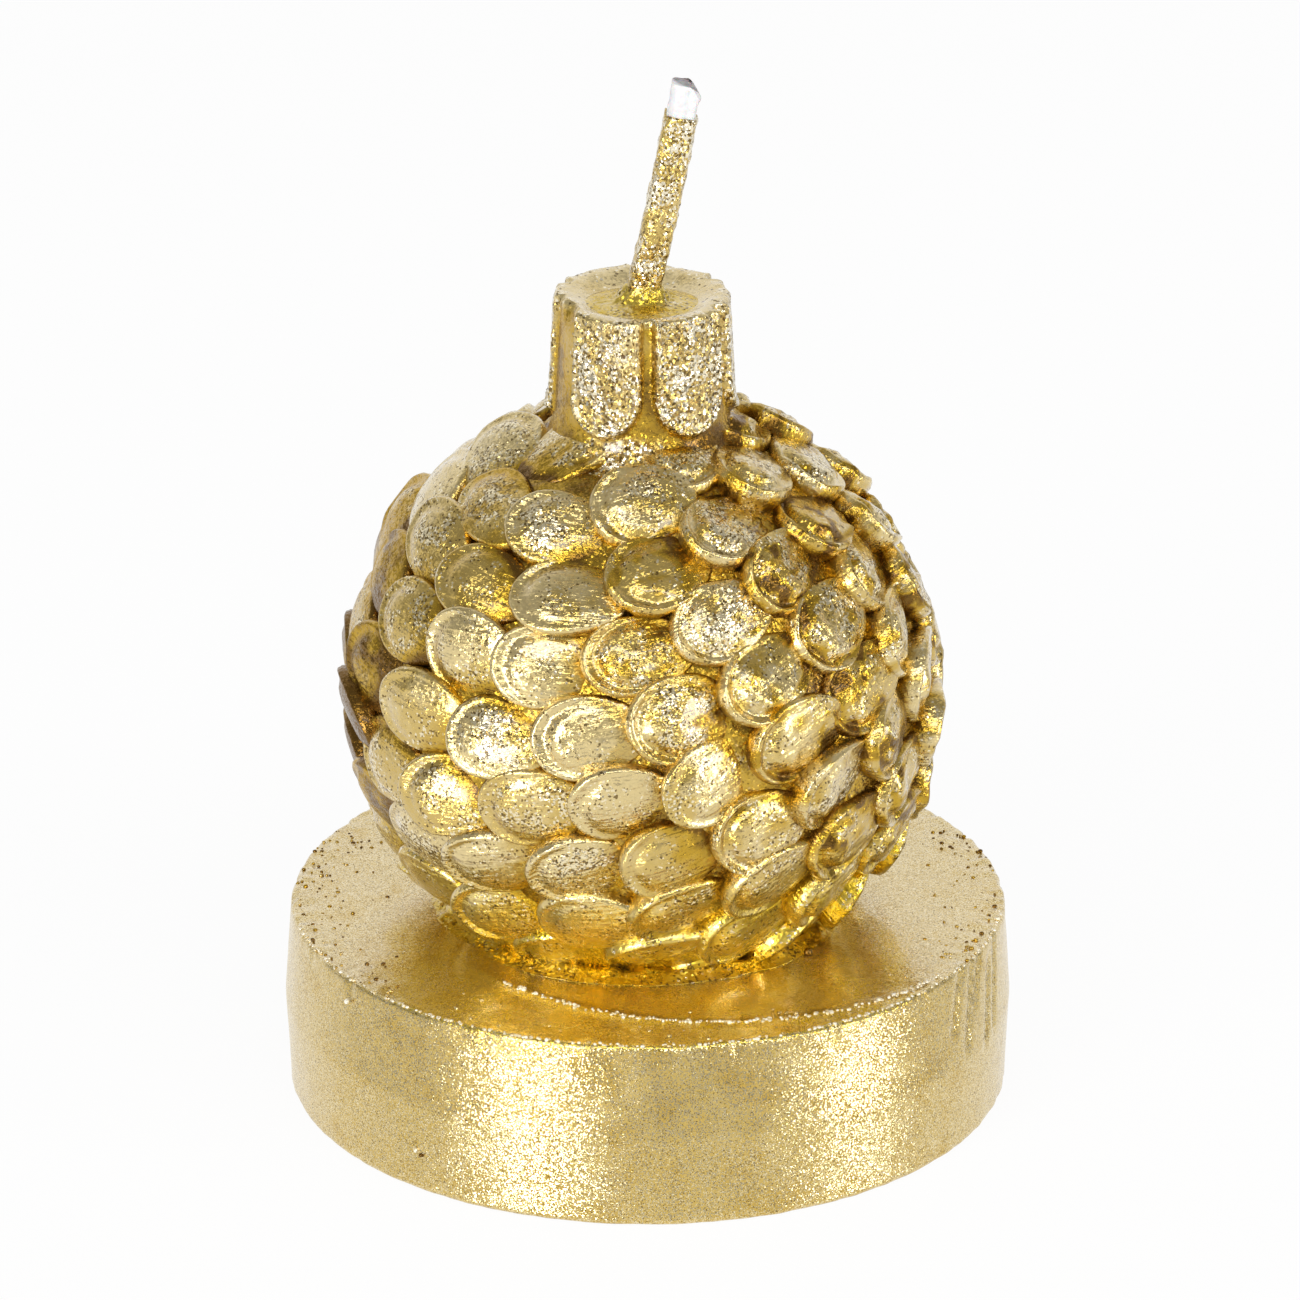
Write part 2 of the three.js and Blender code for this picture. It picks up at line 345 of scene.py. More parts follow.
def ring_point(radius, azimuth, z):
    """The point at a radius, an azimuth in degrees and a height."""
    turn = math.radians(azimuth)
    return Vector((radius * math.sin(turn), -radius * math.cos(turn), z))


# %% Paint, and the finished piece


def paint_layers(bm, *names):
    """Number attributes for a bmesh's vertices, which its finish reads."""
    return {name: bm.verts.layers.float.new(name) for name in names}


def paint(vert, layers, **levels):
    """Sets some of a vertex's attributes."""
    for name, level in levels.items():
        vert[layers[name]] = level


def finished(bm, name, material, node):
    """Makes the mesh an object of the candle, which stands for one node of the construction."""
    for face in bm.faces:
        face.smooth = True
    mesh = mesh_of(bm, name)
    mesh.materials.append(material)
    piece = placed(name, mesh)
    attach(piece, "root")
    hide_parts(node)
    mesh.calc_loop_triangles()
    print(name, len(mesh.loop_triangles), "triangles")


# %% [markdown]
# ## Flakes in the lacquer
# The lacquer is metal flakes in a clear resin. As a base it is metal, with a thin clear coat
# on top. Each flake is a cell of a Voronoi pattern that tilts the normal its own way, so that
# single flakes catch a lamp and sparkle, as they do on the real candle. Some flakes lie bare
# and are pale, and some are sunk in the resin and look brown. The disc's bare flakes also lean
# upward. The pattern is a node group, because every gold piece uses it in its own way.

# %% Flake group
CLUMPS_PER_METRE = 650.0
CLUMP_LIMITS = (0.42, 0.66)
CLUMP_CROWDS = (0.12, 2.6)
STILL_TILT = 0.3


def new_group(name, inputs, outputs):
    """An empty node group, its inputs and its last node; an input without a default is a vector."""
    group = bpy.data.node_groups.new(name, "ShaderNodeTree")
    for socket, value in inputs.items():
        kind = "NodeSocketVector" if value is None else "NodeSocketFloat"
        made = group.interface.new_socket(name=socket, in_out="INPUT", socket_type=kind)
        if value is not None:
            made.default_value = value
    for socket, kind in outputs.items():
        group.interface.new_socket(name=socket, in_out="OUTPUT", socket_type="NodeSocket" + kind)
    return group, group.nodes.new("NodeGroupInput").outputs, group.nodes.new("NodeGroupOutput")


def make_flakes():
    """Tilts the normal flake by flake, and says which flakes lie bare and which are dull."""
    group, given, result = new_group(
        "lacquer_flakes",
        {"Place": None, "Normal": None, "Flakes per metre": 9000.0, "Tilt": 0.5, "Bare share": 0.2,
         "Dull share": 0.2, "Lean": 0.0, "Clumps": 1.0, "Flecks": 1.0},
        {"Normal": "Vector", "Bare": "Float", "Dull": "Float"})
    place = vector_node(group, "SCALE", given["Place"], factor=given["Flakes per metre"])
    cells = add_node(group, "TexVoronoi", {"Vector": place, "Scale": 1.0}).outputs
    draws = add_node(group, "TexWhiteNoise", {"Vector": cells["Position"]}).outputs
    other_draw = add_node(group, "SeparateColor", {0: draws["Color"]}).outputs[1]
    clouds = noise_node(group, given["Place"], CLUMPS_PER_METRE, 2.0, 0.6)
    gathered = math_node(group, "SUBTRACT", ranged(group, clouds, *CLUMP_LIMITS, *CLUMP_CROWDS), 1.0)
    crowd = math_node(group, "ADD", times(group, gathered, given["Clumps"]), 1.0)
    crowd = times(group, crowd, given["Flecks"])
    bare = math_node(group, "LESS_THAN", draws["Value"], times(group, given["Bare share"], crowd))
    dull = math_node(group, "LESS_THAN", other_draw, times(group, given["Dull share"], crowd))
    centred = vector_node(group, "SUBTRACT", cells["Color"], (0.5, 0.5, 0.5))
    loose = math_node(group, "ADD", times(group, given["Flecks"], 1 - STILL_TILT), STILL_TILT)
    pushed = vector_node(group, "SCALE", centred, factor=times(group, given["Tilt"], loose))
    tilted = vector_node(group, "ADD", given["Normal"], pushed)
    upward = vector_node(group, "SCALE", (0, 0, 1), factor=times(group, bare, given["Lean"]))
    leaning = vector_node(group, "ADD", tilted, upward)
    fill(group, result, {"Normal": vector_node(group, "NORMALIZE", leaning), "Bare": bare, "Dull": dull})
    return group


FLAKES = make_flakes()
print("flake group:", [item.name for item in FLAKES.interface.items_tree])

# %% [markdown]
# ## Tones of the lacquer
# The lacquer is brown and deep gold where the crest level is low, gold on faces, and pale
# where the level is high. On the ball and neck the brown of a low level is a painted shade in
# crevices, between scales and in hollows, while dull crumbs are brown in their own right.
# Amber on the disc's top in front of the ball and on the ball's foot is a painted reflection
# of the two in each other; the seal is amber in its own right. Glinting crumbs of wax are
# paler still, and less metallic. Every gold piece shares this second group too, so that all
# belong to one coat.

# %% Tone group
# SHADE_AND_CRUMB_BROWN: painted shade in crevices, between scales and in hollows, and the brown of dull
# crumbs
SHADE_AND_CRUMB_BROWN = (0.180, 0.092, 0.012, 1)
DEEP_GOLD = (0.540, 0.335, 0.030, 1)
GOLD = (0.610, 0.430, 0.105, 1)
AMBER = (0.760, 0.545, 0.030, 1)
PALE_GOLD = (0.800, 0.660, 0.350, 1)
SILVER = (0.930, 0.880, 0.740, 1)
DULL_BROWN = (0.150, 0.090, 0.025, 1)
PIT_BROWN = (0.160, 0.080, 0.015, 1)
METALLIC = 0.92
GLINT_METALLIC = 0.25
CLOUDS_PER_METRE = 420.0
PITS_PER_METRE = 1500.0
NOISE_MIDDLE = (0.3, 0.7)
# The crest levels between which each tone sets in
DEEP_AT = (-0.15, 0.25)
GOLD_AT = (0.2, 0.7)
PALE_AT = (0.8, 1.25)
DULL_AT = (0.15, 0.45)
BARE_AT = (0.25, 0.55)


def make_tone():
    """Lacquer colour, roughness, coat and metal: brown where the crest is low, as painted shade, pale where
    flakes lie bare.
    """
    group, given, result = new_group(
        "lacquer_tone",
        {"Place": None, "Crest": 0.5, "Bare": 0.0, "Dull": 0.0, "Glint": 0.0, "Silver": 0.0,
         "Pitted": 0.0, "Clear": 1.0, "Amber": 0.0},
        {"Color": "Color", "Roughness": "Float", "Coat": "Float", "Metallic": "Float"})
    cloud = noise_node(group, given["Place"], CLOUDS_PER_METRE, 3.0, 0.6)
    depth = math_node(group, "ADD", given["Crest"], ranged(group, cloud, *NOISE_MIDDLE, -0.25, 0.25))
    deep = colour_mix(group, ranged(group, depth, *DEEP_AT), SHADE_AND_CRUMB_BROWN, DEEP_GOLD)
    rich = colour_mix(group, ranged(group, depth, *GOLD_AT), deep, GOLD)
    faced = colour_mix(group, times(group, ranged(group, depth, *PALE_AT), 0.6), rich, PALE_GOLD)
    # Amber on the disc and ball is a painted reflection of each in the other; on the seal it is its own
    # colour
    ambered = colour_mix(group, given["Amber"], faced, AMBER)
    dull = times(group, given["Dull"], ranged(group, depth, *DULL_AT, 0.3, 0.85))
    gold = colour_mix(group, dull, ambered, DULL_BROWN)
    shown = times(group, given["Bare"], ranged(group, depth, *BARE_AT))
    bare = math_node(group, "MAXIMUM", shown, given["Glint"])
    silver = math_node(group, "MAXIMUM", given["Silver"], given["Glint"])
    pale = colour_mix(group, bare, gold, colour_mix(group, silver, PALE_GOLD, SILVER))
    dots = add_node(group, "TexVoronoi", {"Vector": given["Place"], "Scale": PITS_PER_METRE})
    near = ranged(group, dots.outputs["Distance"], 0.12, 0.26, 1.0, 0.0)
    draw = add_node(group, "SeparateColor", {0: dots.outputs["Color"]}).outputs[1]
    pit = times(group, near, math_node(group, "LESS_THAN", draw, given["Pitted"]))
    rough = ranged(group, cloud, *NOISE_MIDDLE, 0.22, 0.32)
    whole = math_node(group, "SUBTRACT", 1.0, times(group, given["Dull"], 0.8))
    coat = times(group, ranged(group, depth, *GOLD_AT, 0.15, 1.0), given["Clear"])
    crumbly = times(group, given["Glint"], METALLIC - GLINT_METALLIC)
    fill(group, result, {
        "Color": colour_mix(group, pit, pale, PIT_BROWN),
        "Roughness": math_node(group, "SUBTRACT", rough, times(group, bare, 0.06)),
        "Coat": times(group, coat, whole),
        "Metallic": math_node(group, "SUBTRACT", METALLIC, crumbly)})
    return group


TONE = make_tone()
print("tone group:", [item.name for item in TONE.interface.items_tree])

# %% [markdown]
# ## The gold finishes
# Each finish is the two groups over a fine grain, under a clear coat. What differs from place
# to place on a piece comes from attributes of its vertices, so it follows the shape.

# %% Gold finishes
STRIPES = (2.5, 9.0, 40.0)
STRIPE_SHARE = 1.6
CLEAR_COAT = {"Coat Roughness": 0.12, "Coat IOR": 1.60}


def new_finish(name):
    """A new material, its node tree and its shader."""
    material = bpy.data.materials.new(name)
    material.use_nodes = True
    return material, material.node_tree, material.node_tree.nodes["Principled BSDF"]


def gold_lacquer(name, grain, grain_height, flake_values, tone_values, painted=(), stripes=None):
    """One gold finish: the flake and tone groups over a fine grain, under a clear coat.

    The piece's attributes named in painted feed the groups' inputs of the same name.
    """
    material, tree, shader = new_finish(name)
    place = add_node(tree, "TexCoord").outputs["Object"]
    height = noise_node(tree, place, 1 / grain, 2.0, 0.6)
    if stripes:
        along = vector_node(tree, "MULTIPLY", attribute(tree, stripes, "Vector"), STRIPES)
        drawn = noise_node(tree, along, 1.0, 2.0)
        height = math_node(tree, "ADD", height, times(tree, drawn, STRIPE_SHARE))
    bump = add_node(tree, "Bump", {"Strength": 1.0, "Distance": grain_height, "Height": height})
    flakes = add_node(tree, "Group", node_tree=FLAKES)
    tone = add_node(tree, "Group", node_tree=TONE)
    fill(tree, flakes, {"Place": place, "Normal": bump.outputs[0], **flake_values})
    fill(tree, tone, {"Place": place, "Bare": flakes.outputs["Bare"], "Dull": flakes.outputs["Dull"],
                      **tone_values})
    for level in painted:
        fill(tree, flakes if level == "flecks" else tone, {level.capitalize(): attribute(tree, level)})
    fill(tree, shader, {"Base Color": tone.outputs["Color"], "Roughness": tone.outputs["Roughness"],
                        "Coat Weight": tone.outputs["Coat"], "Normal": flakes.outputs["Normal"],
                        "Metallic": METALLIC, **CLEAR_COAT})
    if "glint" in painted:
        fill(tree, shader, {"Metallic": tone.outputs["Metallic"]})
    return material


disc_gold = gold_lacquer(
    "disc_gold", 0.25 * MM, 0.015 * MM,
    {"Flakes per metre": 21000, "Tilt": 0.26, "Bare share": 0.36, "Dull share": 0.12, "Lean": 0.32,
     "Clumps": 0.1},
    {"Silver": 0.1}, painted=("clear", "glint", "crest", "amber"))
scale_gold = gold_lacquer(
    "scale_gold", 0.3 * MM, 0.05 * MM,
    {"Flakes per metre": 9000, "Tilt": 0.58, "Bare share": 0.28, "Dull share": 0.26},
    {"Silver": 0.30}, painted=("crest", "flecks", "amber"), stripes="scale_place")
neck_gold = gold_lacquer(
    "neck_gold", 0.22 * MM, 0.05 * MM,
    {"Flakes per metre": 7500, "Tilt": 0.9, "Bare share": 0.36, "Dull share": 0.36, "Clumps": 0.7},
    {"Silver": 0.55, "Pitted": 0.02}, painted=("crest", "flecks"))
seal_gold = gold_lacquer(
    "seal_gold", 0.22 * MM, 0.05 * MM,
    {"Flakes per metre": 8000, "Tilt": 0.5, "Bare share": 0.03, "Dull share": 0.10},
    {"Silver": 0.3, "Pitted": 0.02, "Amber": 0.6}, painted=("crest",))
coat_gold = gold_lacquer(
    "coat_gold", 0.25 * MM, 0.05 * MM,
    {"Flakes per metre": 9000, "Tilt": 0.7, "Bare share": 0.28, "Dull share": 0.30},
    {"Crest": 0.8, "Silver": 0.6, "Pitted": 0.02, "Clear": 0.6})
print("gold finishes:", [finish.name for finish in (disc_gold, scale_gold, neck_gold, seal_gold, coat_gold)])

# %% [markdown]
# ## Base disc
# The disc was poured in a tealight mould and trimmed by hand: its top rim wanders and is
# chipped, a few knife marks run down its right side, and a faint ridge lies in front of the
# ball. It could be a cylinder with a bump texture, but the wandering rim shows against the
# background, so the profile is turned in many fine steps and its vertices are moved.

# %% Disc profile
DISC_TOP_RADIUS = 18.65 * MM
DISC_BOTTOM_RADIUS = 18.8 * MM
TOP_EDGE = 0.28 * MM
BOTTOM_EDGE = 0.35 * MM
BORE_RADIUS = 0.92 * MM
PLATE_ROOM = (6.8 * MM, 0.5 * MM)
COLLAR_ROOM = (1.37 * MM, 3.8 * MM)
FINE_STEP = 0.21 * MM


def disc_profile():
    """The closed outline of the disc's section, from the bore's top out and round to it again."""
    top_edge_start = DISC_TOP_RADIUS - TOP_EDGE
    bottom_edge_end = DISC_BOTTOM_RADIUS - BOTTOM_EDGE
    widest = (DISC_RADIUS, DISC_TOP / 2)
    fine = round((top_edge_start - FOOT_RADIUS) / FINE_STEP)
    points = between((BORE_RADIUS, DISC_TOP), (FOOT_RADIUS, DISC_TOP), 6)
    points += between((FOOT_RADIUS, DISC_TOP), (top_edge_start, DISC_TOP), fine)
    points += rounded((top_edge_start, DISC_TOP - TOP_EDGE), TOP_EDGE, 90, 5, 5)
    points += between((DISC_TOP_RADIUS, DISC_TOP - TOP_EDGE), widest, 15)
    points += between(widest, (DISC_BOTTOM_RADIUS, BOTTOM_EDGE), 14)
    points += rounded((bottom_edge_end, BOTTOM_EDGE), BOTTOM_EDGE, 0, -90, 5)
    (plate_radius, plate_top), (collar_radius, collar_top) = PLATE_ROOM, COLLAR_ROOM
    inner_corners = [(bottom_edge_end, 0), (plate_radius, 0), (plate_radius, plate_top),
                     (collar_radius, plate_top), (collar_radius, collar_top),
                     (BORE_RADIUS, collar_top), (BORE_RADIUS, DISC_TOP)]
    for start, end, count in zip(inner_corners, inner_corners[1:], (8, 2, 3, 2, 1, 3)):
        points += between(start, end, count)
    return points


print("disc profile:", len(disc_profile()), "points")

# %% The disc, worked by hand
RIM_WANDER = 0.10 * MM
RIM_NICKS = 0.05 * MM
CHIP_DEPTH = 0.16 * MM
WALL_UNEVEN = 0.03 * MM
FOOT_UNEVEN = 0.06 * MM
TOP_UNEVEN = 0.03 * MM
RIM_RISE = 0.05 * MM
SIDE_RISE = 0.10 * MM
RING_CENTRE = Vector((3.5 * MM, -1.5 * MM, 0))
RING_RADIUS = 14.5 * MM
RING_WIDTH = 0.35 * MM
INSIDE_DROP = 0.12 * MM
STACK_BLEND = (7.5 * MM, 10 * MM)
KNIFE_DEPTH = 0.20 * MM
KNIFE_WIDTH = 0.55
KNIFE_SLANT = 2.2
# Each knife mark's azimuth in degrees, and its height and half length in mm
KNIFE_MARKS = [(58, 8.6, 2.3), (62, 7.9, 3.1), (65, 8.8, 2.0), (69, 7.2, 2.8), (73, 8.1, 3.4)]


def knife_cut(azimuth, z):
    """How deep the knife bit at a place on the wall."""
    depth = 0.0
    for start, height, half_length in KNIFE_MARKS:
        along = (z / MM - height) / half_length
        reach = ease(along, -1.0, -0.7) * ease(-along, -0.9, -0.4)
        depth += KNIFE_DEPTH * reach * hump(azimuth, start + KNIFE_SLANT * along, KNIFE_WIDTH)
    return depth


def moved_out(point, radius, azimuth, on_top):
    """How far a vertex moves outward: the rim wanders and is chipped, and the wall is uneven."""
    round_place = Vector((point.x, point.y, 0)) / max(radius, MM) * DISC_RADIUS
    wander = RIM_WANDER * ripple(round_place, 5 * MM) + RIM_NICKS * ripple(round_place, 0.9 * MM, 3.0)
    chips = CHIP_DEPTH * ease(ripple(round_place, 1.3 * MM, 9.0), 0.25, 0.6)
    out = (wander - chips) * ease(point.z, DISC_TOP - 1.4 * MM, DISC_TOP)
    out += WALL_UNEVEN * ripple(point, 2.2 * MM, 5.0) * (1 - on_top)
    out += FOOT_UNEVEN * ripple(round_place, 0.8 * MM, 7.0) * ease(point.z, 0.8 * MM, 0)
    out *= ease(radius, 14 * MM, 17 * MM)
    if 50 < azimuth < 80 and radius > DISC_TOP_RADIUS - MM and point.z < DISC_TOP:
        out -= knife_cut(azimuth, point.z)
    return out


def moved_up(point, radius, azimuth):
    """How far a vertex of the top moves up: a rough rim, and a ridge in front with a dip inside."""
    near_rim = ease(radius, DISC_TOP_RADIUS - 2.5 * MM, DISC_TOP_RADIUS - 0.3 * MM)
    up = near_rim * RIM_RISE * ripple(point, 0.8 * MM, 2.0)
    up += near_rim * ease(abs(azimuth), 38, 75) * SIDE_RISE * ripple(point, 0.55 * MM, 4.0)
    from_ring = (Vector((point.x, point.y, 0)) - RING_CENTRE).length - RING_RADIUS
    ring_front = ease(-abs(azimuth - 3), -55, -25)
    up += ring_front * RIDGE_HEIGHT * hump(from_ring, 0, RING_WIDTH)
    up -= ring_front * INSIDE_DROP * ease(-from_ring, 0.2 * MM, 1.2 * MM)
    return up + TOP_UNEVEN * ripple(point, 3.0 * MM, 6.0)


def disc_worked(point):
    """Where a vertex of the disc lies after the pouring, the trimming and the knife."""
    radius = math.hypot(point.x, point.y)
    azimuth = azimuth_of(point.x, point.y)
    on_top = ease(point.z, DISC_TOP - 1.2 * TOP_EDGE, DISC_TOP - 0.2 * TOP_EDGE)
    stretch = 1 + moved_out(point, radius, azimuth, on_top) / max(radius, MM)
    up = on_top * moved_up(point, radius, azimuth) if on_top else 0
    shift = STACK_X * ease(-radius, -STACK_BLEND[1], -STACK_BLEND[0])
    return Vector((point.x * stretch + shift, point.y * stretch, point.z + up))


print("knife marks:", len(KNIFE_MARKS))

# %% The disc and its paint
DISC_STEPS = 480
WALL_CLEAR = 0.5
DISC_TONE = 0.70
# The top in front of the ball is painted amber: a painted reflection of the gold ball
BALL_REFLECTION_HALF_WIDTHS = (15 * MM, 11 * MM)
BALL_REFLECTION_BEGINS = (1 * MM, 7 * MM)

disc_bm = spun(disc_profile(), DISC_STEPS, closed=True)
disc_layers = paint_layers(disc_bm, "clear", "glint", "crest", "amber")
for vert in disc_bm.verts:
    x, y, z = vert.co
    on_top = ease(z, DISC_TOP - TOP_EDGE, DISC_TOP)
    ambered = ease(-abs(x), -BALL_REFLECTION_HALF_WIDTHS[0], -BALL_REFLECTION_HALF_WIDTHS[1]) * ease(-y, *BALL_REFLECTION_BEGINS)
    paint(vert, disc_layers, clear=WALL_CLEAR + (1 - WALL_CLEAR) * on_top, crest=DISC_TONE,
          amber=on_top * ambered)
    vert.co = disc_worked(vert.co)
print("disc:", len(disc_bm.verts), "vertices")

# %% [markdown]
# ## Crumbs on the disc
# Trimming left crumbs of wax: brown ones at the sides of the top, pale ones towards the
# front, bright ones on the ridge and along the rim, and a few specks on the wall. The bright
# ones on the ridge and rim are made pale and less metallic, a painted highlight of those
# edges. Each is a small squashed ball, half sunk where it lies, because paint alone would
# cast no shadow.

# %% Crumbs on the disc
rng = random.Random(7)
DARK_CRUMBS = (-0.3, 0.5)
PALE_CRUMBS = (0.6, 0.9)
GLINTS = (0.4, 1)
# From and up to which azimuth they lie, their count and their tones
SIDE_CRUMBS = [(-116, -46, 110, DARK_CRUMBS), (62, 118, 80, DARK_CRUMBS), (-48, 62, 40, PALE_CRUMBS)]
RIDGE_CRUMBS = 170
RIM_CRUMBS = 210
# Each speck's azimuth in degrees, its height and radius in mm, its tone and its glint
WALL_SPECKS = [(-54.3, 8.95, 0.20, 0.7, 1.0), (-38.6, 2.35, 0.20, 0.7, 0.8), (-37.6, 2.15, 0.15, -0.3, 0.0),
               (-29.6, 5.00, 0.13, 0.7, 0.7), (-28.9, 4.90, 0.12, -0.3, 0.0)]


def crumb(place, size, tone, glint=0.0):
    """A crumb of wax, half sunk where it lies; glint makes it pale and less metallic, on the ridge and rim a
    painted highlight.
    """
    turn = Matrix.Rotation(rng.uniform(0, math.tau), 4, "Z")
    squash = Matrix.Diagonal((1, rng.uniform(0.6, 1), rng.uniform(0.5, 0.8), 1))
    matrix = Matrix.Translation(place) @ turn @ squash
    made = bmesh.ops.create_icosphere(disc_bm, subdivisions=2, radius=size, matrix=matrix)
    for vert in made["verts"]:
        paint(vert, disc_layers, clear=1, glint=glint, crest=tone)


for low, high, count, tones in SIDE_CRUMBS:
    for index in range(count):
        azimuth = rng.uniform(low, high)
        radius = DISC_TOP_RADIUS - 0.2 * MM - abs(rng.gauss(0, 1.6)) * MM
        crumb(ring_point(radius, azimuth, DISC_TOP), rng.uniform(0.05, 0.14) * MM, rng.uniform(*tones))
for azimuth, height, size, tone, glint in WALL_SPECKS:
    crumb(ring_point(DISC_RADIUS - 0.08 * MM, azimuth, height * MM), size * MM, tone, glint)
# Ridge and rim crumbs glint: a painted highlight along those edges
for index in range(RIDGE_CRUMBS):
    azimuth = rng.uniform(-48, 52)
    radius = RING_RADIUS + rng.gauss(0, 0.09) * MM
    place = RING_CENTRE + ring_point(radius, azimuth, DISC_TOP + RIDGE_HEIGHT)
    crumb(place, rng.uniform(0.07, 0.14) * MM, DISC_TONE, rng.uniform(*GLINTS))
for index in range(RIM_CRUMBS):
    azimuth = rng.uniform(-78, 84)
    radius = DISC_TOP_RADIUS - 0.12 * MM - abs(rng.gauss(0, 0.10)) * MM
    place = ring_point(radius, azimuth, DISC_TOP - SUNK)
    crumb(place, rng.uniform(0.07, 0.13) * MM, DISC_TONE, rng.uniform(*GLINTS))
finished(disc_bm, "poured_disc", disc_gold, "base_disc")

# %% [markdown]
# ## The ball and its scales
# The ball is cast with its scales on it, in rows that circle a leaning axis like feathers
# round a nest. Every scale is the same round button: spun once, then drawn out into a
# teardrop and bent onto the ball, tip up and tail down, so that each tail goes under the
# next tip. A displaced sphere would blur the sharp shadow line under each lip.

# %% The button
SCALE_STEPS = 36
ISLAND_EDGE = 0.66
SCALE_RINGS = [0.0, 0.22, 0.40, 0.53, 0.61, ISLAND_EDGE, 0.71, 0.77, 0.82, 0.87, 0.91, 0.95, 0.98, 1.0]
BUTTON_BACK = [(1.02, -0.4), (1.0, -1.0), (0.0, -1.0)]

button_bm = spun([(ring, 0) for ring in SCALE_RINGS] + BUTTON_BACK, SCALE_STEPS)
button = mesh_of(button_bm, "button")
print("button:", len(button.vertices), "vertices")

# %% The form of a scale
SCALE_HALF_WIDTH = 2.25 * MM
SCALE_TIP = 2.6 * MM
SCALE_TAIL = 3.7 * MM
TAIL_TAPER = 0.20
TAIL_FULLNESS = 0.82
TIP_LIFT = 0.80 * MM
TAIL_LIFT = -0.06 * MM
RIM_HEIGHT = 0.22 * MM
VALLEY_DEPTH = 0.22 * MM
ISLAND_HEIGHT = 0.24 * MM
DOME_HEIGHT = 0.26 * MM
LIP_DROP = 0.18 * MM
MOST_RELIEF = 1.35


def drawn_ring(ring, turn):
    """Where a ring of the button goes, as a share of the outline: the island reaches to the tail."""
    edge = 0.66 - 0.10 * math.cos(turn)
    if ring <= ISLAND_EDGE:
        return ring / ISLAND_EDGE * edge
    return edge + (ring - ISLAND_EDGE) / (1 - ISLAND_EDGE) * (1 - edge)


def drawn_out(ring, turn, length, width):
    """How far towards the tip and across a vertex of the button goes, in a teardrop."""
    drawn = drawn_ring(min(ring, 1), turn) * max(ring, 1) if ring else 0
    u = drawn * math.cos(turn) * (SCALE_TIP if math.cos(turn) > 0 else SCALE_TAIL)
    v = drawn * math.sin(turn) * SCALE_HALF_WIDTH
    if u < 0:
        taper = 1 - TAIL_TAPER * math.cos(turn) ** 2
        v *= taper * max(abs(math.sin(turn)), 0.2) ** (TAIL_FULLNESS - 1)
    return u * length, v * width


def scale_lift(ring, turn, along, relief):
    """Height of the scale's top: a raised rim, a crescent valley behind it and a raised island."""
    slope = (along + SCALE_TAIL) / (SCALE_TIP + SCALE_TAIL)
    lift = TAIL_LIFT + (TIP_LIFT - TAIL_LIFT) * slope
    front = ease(math.cos(turn), -0.35, 0.65)
    lift += front * relief * RIM_HEIGHT * hump(ring, 0.91, 0.055)
    lift -= front * relief * VALLEY_DEPTH * hump(ring, 0.78, 0.08)
    lift += (0.3 + 0.7 * front) * relief * ISLAND_HEIGHT * ease(-ring, -0.74, -0.50)
    lift += (MOST_RELIEF - relief) * DOME_HEIGHT * (1 - ring ** 2)
    return lift - LIP_DROP * ease(ring, 0.94, 1.0)


print("a scale in mm:", round((SCALE_TIP + SCALE_TAIL) / MM, 2), "by", round(2 * SCALE_HALF_WIDTH / MM, 2))

# %% One scale on the ball
ROOT_LIFT = -1.1 * MM
HIGHEST_LIFT = 1.25 * MM
SIDE_CROWDING = 0.3
RIM_FLECKS = 0.22
HOLLOW_SHADE = 0.80
# FOOT_AMBER paints the ball's lower part amber: a painted reflection of the gold disc below
FOOT_AMBER = 0.90


def roughness_of(place, traits):
    """How far the rough casting moves a scale's surface."""
    coarse = (0.04 + 0.12 * traits["rough"]) * MM * ripple(place, 1.2 * MM, traits["tone"] * 9)
    return coarse + (0.02 + 0.09 * traits["rough"]) * MM * ripple(place, 0.55 * MM, traits["tone"] * 5)


def add_scale(bm, layers, outward, tipward, traits):
    """One scale on the ball, from the button, with its own small differences."""
    across = outward.cross(tipward)
    start = len(bm.verts)
    bm.from_mesh(button)
    bm.verts.ensure_lookup_table()
    for vert in bm.verts[start:]:
        x, y, depth = vert.co
        ring = math.hypot(x, y)
        turn = math.atan2(y, x)
        turn -= SIDE_CROWDING * math.sin(turn)
        u, v = drawn_out(ring, turn, traits["length"], traits["width"])
        along = min(max(u, -SCALE_TAIL), SCALE_TIP)
        top = scale_lift(min(ring, 1), turn, along, traits["relief"]) + traits["lift"]
        top += v * traits["rock"] + u * traits["pitch"]
        place = outward * RELIEF_RADIUS + tipward * u + across * v
        top = min(top + roughness_of(place, traits), HIGHEST_LIFT)
        lift = top + (ROOT_LIFT - top) * -depth
        away = place.normalized()
        vert.co = BALL_CENTRE + away * (CORE_RADIUS + lift)
        vert.co.z = max(vert.co.z, DISC_TOP - SUNK)
        hollow = traits["rough"] * ease(ripple(place, 0.9 * MM, 7.0), 0.0, 0.35)
        # A low crest paints the low parts of a scale brown and deep gold: painted shade under its lip and
        # round its root
        crest = 1.2 * ease(lift, -0.3 * MM, 0.6 * MM) - 0.25
        on_island = ease(-ring, -0.80, -0.62) * (1 + min(depth, 0))
        paint(vert, layers, crest=crest + traits["shade"] - HOLLOW_SHADE * hollow,
              flecks=RIM_FLECKS + (traits["flecks"] - RIM_FLECKS) * on_island,
              amber=FOOT_AMBER * ease(-away.z, 0.25, 0.75))
        vert[layers["scale_place"]] = Vector((u / SCALE_TAIL, v / SCALE_HALF_WIDTH, traits["tone"]))


print("a scale lies up to", round(HIGHEST_LIFT / MM, 2), "mm above the core")

# %% [markdown]
# ## The whorl
# The rows are circles round the leaning axis, and each holds as many scales as fit. Their
# small differences come from a seeded draw. A scale that would lie under the neck is left out
# after its draw, so that the others keep theirs.

